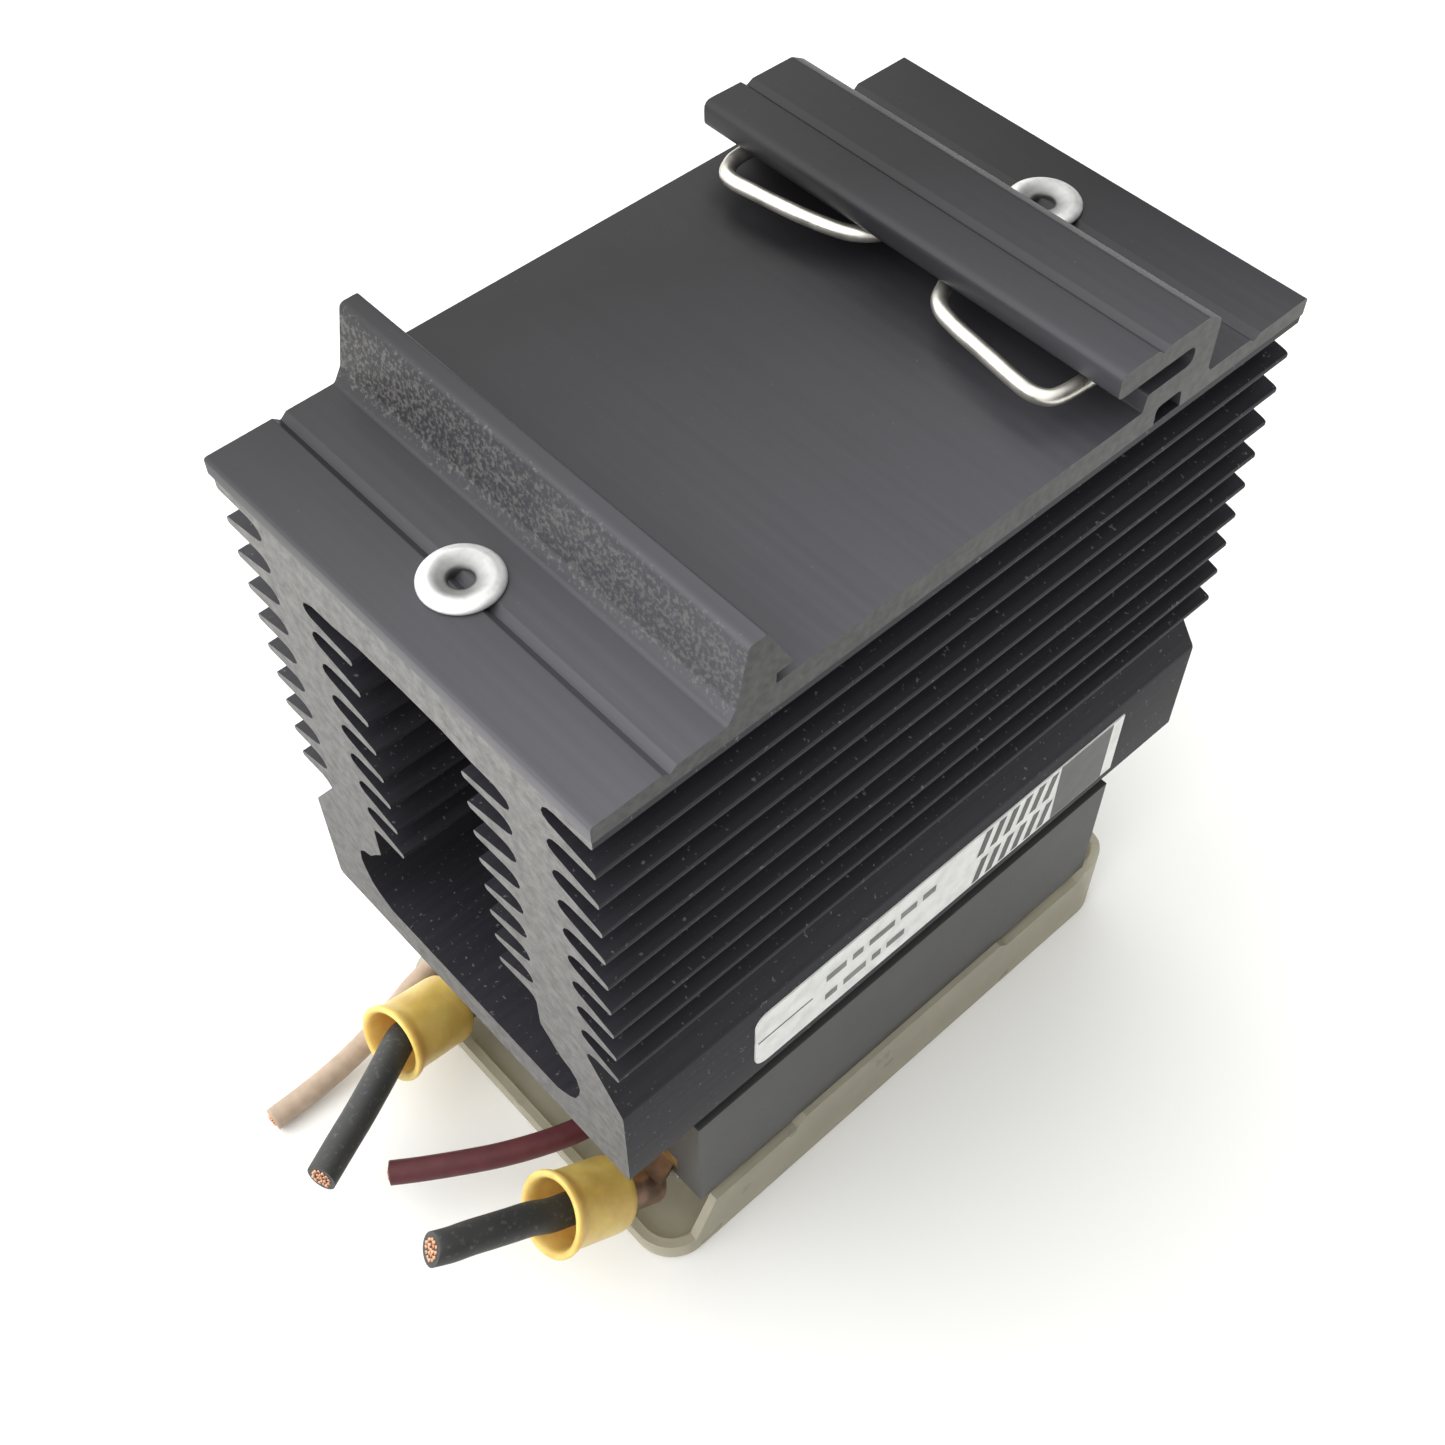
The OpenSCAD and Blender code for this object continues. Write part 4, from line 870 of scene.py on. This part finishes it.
# ---------------------------------------------------------------- Terminal sleeves
# Yellow translucent vinyl sleeves pushed over the ring terminals' barrels, belled out
# at the mouth, with the wire coming out of the middle.
for name, start, turn, rise, near, reach, node in (
        ("yellow_sleeve_left", (-13.5, -30.9, 6.6), -5.6, 19.5, 3.4, 12.5, "sleeve_left"),
        ("yellow_sleeve_right", (16.1, -31.2, 6.7), 7, 32, 4.8, 13.6, "sleeve_right")):
    shape = [(2.55, near + 0.2), (3.1, near + 0.02), (3.6, near + 0.3), (3.9, near + 0.8), (3.98, near + 1.4),
             (4.0, reach - 1.9), (4.08, reach - 1.4), (4.32, reach - 0.9), (4.45, reach - 0.5),
             (4.43, reach - 0.15), (4.25, reach), (3.95, reach - 0.02), (3.7, reach - 0.2),
             (3.52, reach - 0.7), (3.44, reach - 1.6), (3.4, near + 2.2), (3.2, near + 1.7),
             (2.56, near + 1.4)]
    bm = bmesh.new()
    sides, rings = 56, []
    for r, out in shape:
        ring = []
        for k in range(sides):
            a = k * math.tau / sides
            # squeezed a little out of round by the crimping tool
            w = 1 + 0.012 * math.cos(2 * a + 0.5) * (out - near) / 8
            ring.append(bm.verts.new(Vector((r * w * math.cos(a), r / w * math.sin(a), out)) / 1000))
        rings.append(ring)
    for i in range(len(shape)):
        j = (i + 1) % len(shape)
        for k in range(sides):
            bm.faces.new((rings[i][k], rings[i][(k + 1) % sides], rings[j][(k + 1) % sides],
                          rings[j][k])).smooth = True
    place = (Matrix.Translation(Vector(start) / 1000) @ Matrix.Rotation(math.radians(-turn), 4, "Z")
             @ Matrix.Rotation(math.radians(90 - rise), 4, "X"))
    bmesh.ops.transform(bm, matrix=place, verts=bm.verts)
    bmesh.ops.recalc_face_normals(bm, faces=bm.faces)
    me = bpy.data.meshes.new(name)
    bm.to_mesh(me)
    bm.free()
    sleeve = bpy.data.objects.new(name, me)
    bpy.context.collection.objects.link(sleeve)
    mat = bpy.data.materials.new(name + "_vinyl")
    mat.use_nodes = True
    nodes, link = mat.node_tree.nodes, mat.node_tree.links.new
    skin = nodes["Principled BSDF"]
    skin.inputs["Roughness"].default_value = 0.33
    skin.inputs["Subsurface Weight"].default_value = 0.6
    skin.inputs["Subsurface Radius"].default_value = (0.9, 0.55, 0.1)
    skin.inputs["Subsurface Scale"].default_value = 0.0015
    skin.inputs["Transmission Weight"].default_value = 0.12
    coord = nodes.new("ShaderNodeTexCoord")
    cloudy = nodes.new("ShaderNodeTexNoise")
    cloudy.inputs["Scale"].default_value = 330
    cloudy.inputs["Detail"].default_value = 4
    tone = nodes.new("ShaderNodeValToRGB")
    tone.color_ramp.elements[0].position = 0.3
    tone.color_ramp.elements[0].color = (0.68, 0.47, 0.11, 1)
    tone.color_ramp.elements[1].position = 0.65
    tone.color_ramp.elements[1].color = (0.85, 0.64, 0.19, 1)
    lift = nodes.new("ShaderNodeBump")
    lift.inputs["Strength"].default_value = 0.25
    lift.inputs["Distance"].default_value = 0.0002
    link(coord.outputs["Object"], cloudy.inputs["Vector"])
    link(cloudy.outputs["Fac"], tone.inputs["Fac"])
    link(tone.outputs["Color"], skin.inputs["Base Color"])
    link(cloudy.outputs["Fac"], lift.inputs["Height"])
    link(lift.outputs["Normal"], skin.inputs["Normal"])
    me.materials.append(mat)
    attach(sleeve, "relay")
    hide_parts(node)

# ---------------------------------------------------------------- Side label
# White printed film stuck on the heat sink's side. Its wording is replaced by plain
# grey bars; the ruled line, the slanted stripes and the dark end band are kept plain.
low, high, y0, y1 = 30.45, 39.65, -22.7, 27.8
film = []
for cy, cz, a0 in ((y0 + 1.6, high - 1.6, 90), (y0 + 1.6, low + 1.6, 180)):
    for k in range(7):
        a = math.radians(a0 + 15 * k)
        film.append((cy + 1.6 * math.cos(a), cz + 1.6 * math.sin(a)))
film += [(y1, low), (y1, high)]
white, black, grey = 0, 1, 2
marks = [(film, white, 0.08)]
mid = (low + high) / 2
rule = [(y0 + 0.3, mid - 0.12), (-15.5, mid - 0.12), (-15.5, mid + 0.12), (y0 + 0.3, mid + 0.12)]
marks.append((rule, black, 0.1))
for row, lengths in ((mid + 1.0, (2.6, 1.4, 3.4, 2.2, 1.8)), (mid - 2.5, (1.6, 3.0, 1.2, 2.4))):
    y = -13.8
    for w in lengths:
        marks.append(([(y, row), (y + w, row), (y + w, row + 1.1), (y, row + 1.1)], grey, 0.1))
        y += w + 0.8
for k in range(6):
    for base in (low + 0.3, mid + 0.5):
        y = 6.6 + 1.9 * k
        marks.append(([(y, base), (y + 1.0, base), (y + 1.9, base + 3.7), (y + 0.9, base + 3.7)], black, 0.1))
marks.append(([(18.3, low + 0.1), (26.1, low + 0.1), (26.1, high - 0.1), (18.3, high - 0.1)], black, 0.1))
bm = bmesh.new()
for shape, paint, out in marks:
    face = bm.faces.new([bm.verts.new(((22.5 + out) / 1000, y / 1000, z / 1000)) for y, z in shape])
    face.material_index = paint
    face.normal_update()
    if face.normal.x < 0:
        face.normal_flip()
bm.faces.ensure_lookup_table()
rim = list(bm.faces[0].verts)
skirt = [bm.verts.new((0.02242, v.co.y, v.co.z)) for v in rim]
for i in range(len(rim)):
    j = (i + 1) % len(rim)
    bm.faces.new((skirt[i], skirt[j], rim[j], rim[i]))
me = bpy.data.meshes.new("printed_side_label")
bm.to_mesh(me)
bm.free()
label = bpy.data.objects.new("printed_side_label", me)
bpy.context.collection.objects.link(label)
for name, dark, pale in (("label_white", (0.7, 0.71, 0.69, 1), (0.86, 0.87, 0.85, 1)),
                         ("label_black", (0.02, 0.02, 0.02, 1), (0.045, 0.045, 0.042, 1)),
                         ("label_grey", (0.1, 0.1, 0.1, 1), (0.2, 0.2, 0.2, 1))):
    mat = bpy.data.materials.new(name)
    mat.use_nodes = True
    nodes, link = mat.node_tree.nodes, mat.node_tree.links.new
    skin = nodes["Principled BSDF"]
    skin.inputs["Roughness"].default_value = 0.35
    coord = nodes.new("ShaderNodeTexCoord")
    rub = nodes.new("ShaderNodeTexNoise")
    rub.inputs["Scale"].default_value = 500
    rub.inputs["Detail"].default_value = 5
    tone = nodes.new("ShaderNodeValToRGB")
    tone.color_ramp.elements[0].position = 0.3
    tone.color_ramp.elements[0].color = dark
    tone.color_ramp.elements[1].position = 0.6
    tone.color_ramp.elements[1].color = pale
    link(coord.outputs["Object"], rub.inputs["Vector"])
    link(rub.outputs["Fac"], tone.inputs["Fac"])
    link(tone.outputs["Color"], skin.inputs["Base Color"])
    me.materials.append(mat)
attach(label, "relay")
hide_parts("side_label")

# ---------------------------------------------------------------- Terminal cover
# Clear, yellowed polycarbonate tray that snaps on over the terminals, and that the part
# stands on here: low at the wire end, stepped beside the terminals, with four posts.
cy, half_w, half_l, corner = -0.8, 23.1, 34.25, 4.5
def_rim = [(-35.2, 3.0), (-31.1, 3.0), (-28.2, 9.0), (-16.8, 9.0), (-15.6, 10.2), (14.0, 10.2), (15.2, 9.0),
           (27.0, 9.0), (27.8, 10.1), (32.4, 10.1), (33.6, 9.2)]
loops = []
for inset in (0, 1.0):
    w, l, r = half_w - inset, half_l - inset, corner - inset
    ring = []
    for sx, sy, a0 in ((1, 1, 0), (-1, 1, 90), (-1, -1, 180), (1, -1, 270)):
        for k in range(13):
            a = math.radians(a0 + 7.5 * k)
            ring.append((sx * (w - r) + r * math.cos(a), cy + sy * (l - r) + r * math.sin(a)))
    loops.append(ring)
full = []
for i in range(52):
    j = (i + 1) % 52
    ends = [(loops[n][i], loops[n][j]) for n in (0, 1)]
    full.append((ends[0][0], ends[1][0]))
    run = abs(ends[0][1][1] - ends[0][0][1])
    if run > 20:
        for y in sorted([q[0] for q in def_rim if -30 < q[0] < 29], reverse=ends[0][1][1] < ends[0][0][1]):
            pair = []
            for a, b in ends:
                t = (y - a[1]) / (b[1] - a[1])
                pair.append((a[0] + t * (b[0] - a[0]), y))
            full.append(tuple(pair))
bm = bmesh.new()
rows = {"low_out": [], "side_out": [], "top_out": [], "top_in": [], "floor_in": []}
for (ox, oy), (ix, iy) in full:
    z = def_rim[0][1]
    for (ya, za), (yb, zb) in zip(def_rim, def_rim[1:]):
        if ya <= oy <= yb:
            z = za + (zb - za) * (oy - ya) / (yb - ya)
    inward = Vector((ix - ox, iy - oy)).normalized() * 0.35
    rows["low_out"].append(bm.verts.new(((ox + inward.x) / 1000, (oy + inward.y) / 1000, 0)))
    rows["side_out"].append(bm.verts.new((ox / 1000, oy / 1000, 0.00035)))
    rows["top_out"].append(bm.verts.new((ox / 1000, oy / 1000, z / 1000)))
    rows["top_in"].append(bm.verts.new((ix / 1000, iy / 1000, z / 1000)))
    rows["floor_in"].append(bm.verts.new((ix / 1000, iy / 1000, 0.0016)))
names = list(rows)
for a, b in zip(names, names[1:]):
    for i in range(len(full)):
        j = (i + 1) % len(full)
        bm.faces.new((rows[a][i], rows[a][j], rows[b][j], rows[b][i]))
holes = []
for z, ring in ((0, rows["low_out"]), (0.0016, rows["floor_in"])):
    edges = [bm.edges.get((ring[i], ring[(i + 1) % len(ring)])) for i in range(len(ring))]
    rims = []
    for sx in (-14.1, 14.1):
        for y in (-25.0, 23.4):
            hole = [bm.verts.new(((sx + 3.25 * math.cos(k * math.tau / 32)) / 1000,
                                  (y + 3.25 * math.sin(k * math.tau / 32)) / 1000, z)) for k in range(32)]
            edges += [bm.edges.new((hole[k], hole[(k + 1) % 32])) for k in range(32)]
            rims.append(hole)
    bmesh.ops.triangle_fill(bm, use_beauty=True, use_dissolve=False, edges=edges)
    holes.append(rims)
for low_rim, high_rim in zip(*holes):
    for k in range(32):
        bm.faces.new((low_rim[k], low_rim[(k + 1) % 32], high_rim[(k + 1) % 32], high_rim[k]))
for sx in (-19.8, 19.8):
    for y in (-10.8, 9.2):
        foot, head = [[bm.verts.new(((sx + 1.4 * math.cos(k * math.tau / 24)) / 1000,
                                     (y + 1.4 * math.sin(k * math.tau / 24)) / 1000, z)) for k in range(24)]
                      for z in (0.0014, 0.0095)]
        for k in range(24):
            bm.faces.new((foot[k], foot[(k + 1) % 24], head[(k + 1) % 24], head[k]))
        bm.faces.new(head)
        bm.faces.new(foot[::-1])
bmesh.ops.recalc_face_normals(bm, faces=bm.faces)
me = bpy.data.meshes.new("clear_terminal_cover")
bm.to_mesh(me)
bm.free()
me.shade_smooth()
me.set_sharp_from_angle(angle=math.radians(30))
cover = bpy.data.objects.new("clear_terminal_cover", me)
bpy.context.collection.objects.link(cover)
mat = bpy.data.materials.new("yellowed_polycarbonate")
mat.use_nodes = True
nodes, link = mat.node_tree.nodes, mat.node_tree.links.new
skin = nodes["Principled BSDF"]
skin.inputs["IOR"].default_value = 1.5
coord = nodes.new("ShaderNodeTexCoord")
haze = nodes.new("ShaderNodeTexNoise")
haze.inputs["Scale"].default_value = 160
haze.inputs["Detail"].default_value = 5
tone = nodes.new("ShaderNodeValToRGB")
tone.color_ramp.elements[0].position = 0.3
tone.color_ramp.elements[0].color = (0.5, 0.47, 0.38, 1)
tone.color_ramp.elements[1].position = 0.7
tone.color_ramp.elements[1].color = (0.62, 0.59, 0.48, 1)
gloss = nodes.new("ShaderNodeMapRange")
gloss.inputs["To Min"].default_value = 0.18
gloss.inputs["To Max"].default_value = 0.45
clear = nodes.new("ShaderNodeBsdfTransparent")
clear.inputs["Color"].default_value = (0.8, 0.78, 0.68, 1)
thin = nodes.new("ShaderNodeMixShader")
thin.inputs["Fac"].default_value = 0.5
link(coord.outputs["Object"], haze.inputs["Vector"])
link(haze.outputs["Fac"], tone.inputs["Fac"])
link(haze.outputs["Fac"], gloss.inputs["Value"])
link(tone.outputs["Color"], skin.inputs["Base Color"])
link(gloss.outputs["Result"], skin.inputs["Roughness"])
link(skin.outputs["BSDF"], thin.inputs[1])
link(clear.outputs["BSDF"], thin.inputs[2])
link(thin.outputs["Shader"], nodes["Material Output"].inputs["Surface"])
me.materials.append(mat)
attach(cover, "cover")
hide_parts("terminal_cover")
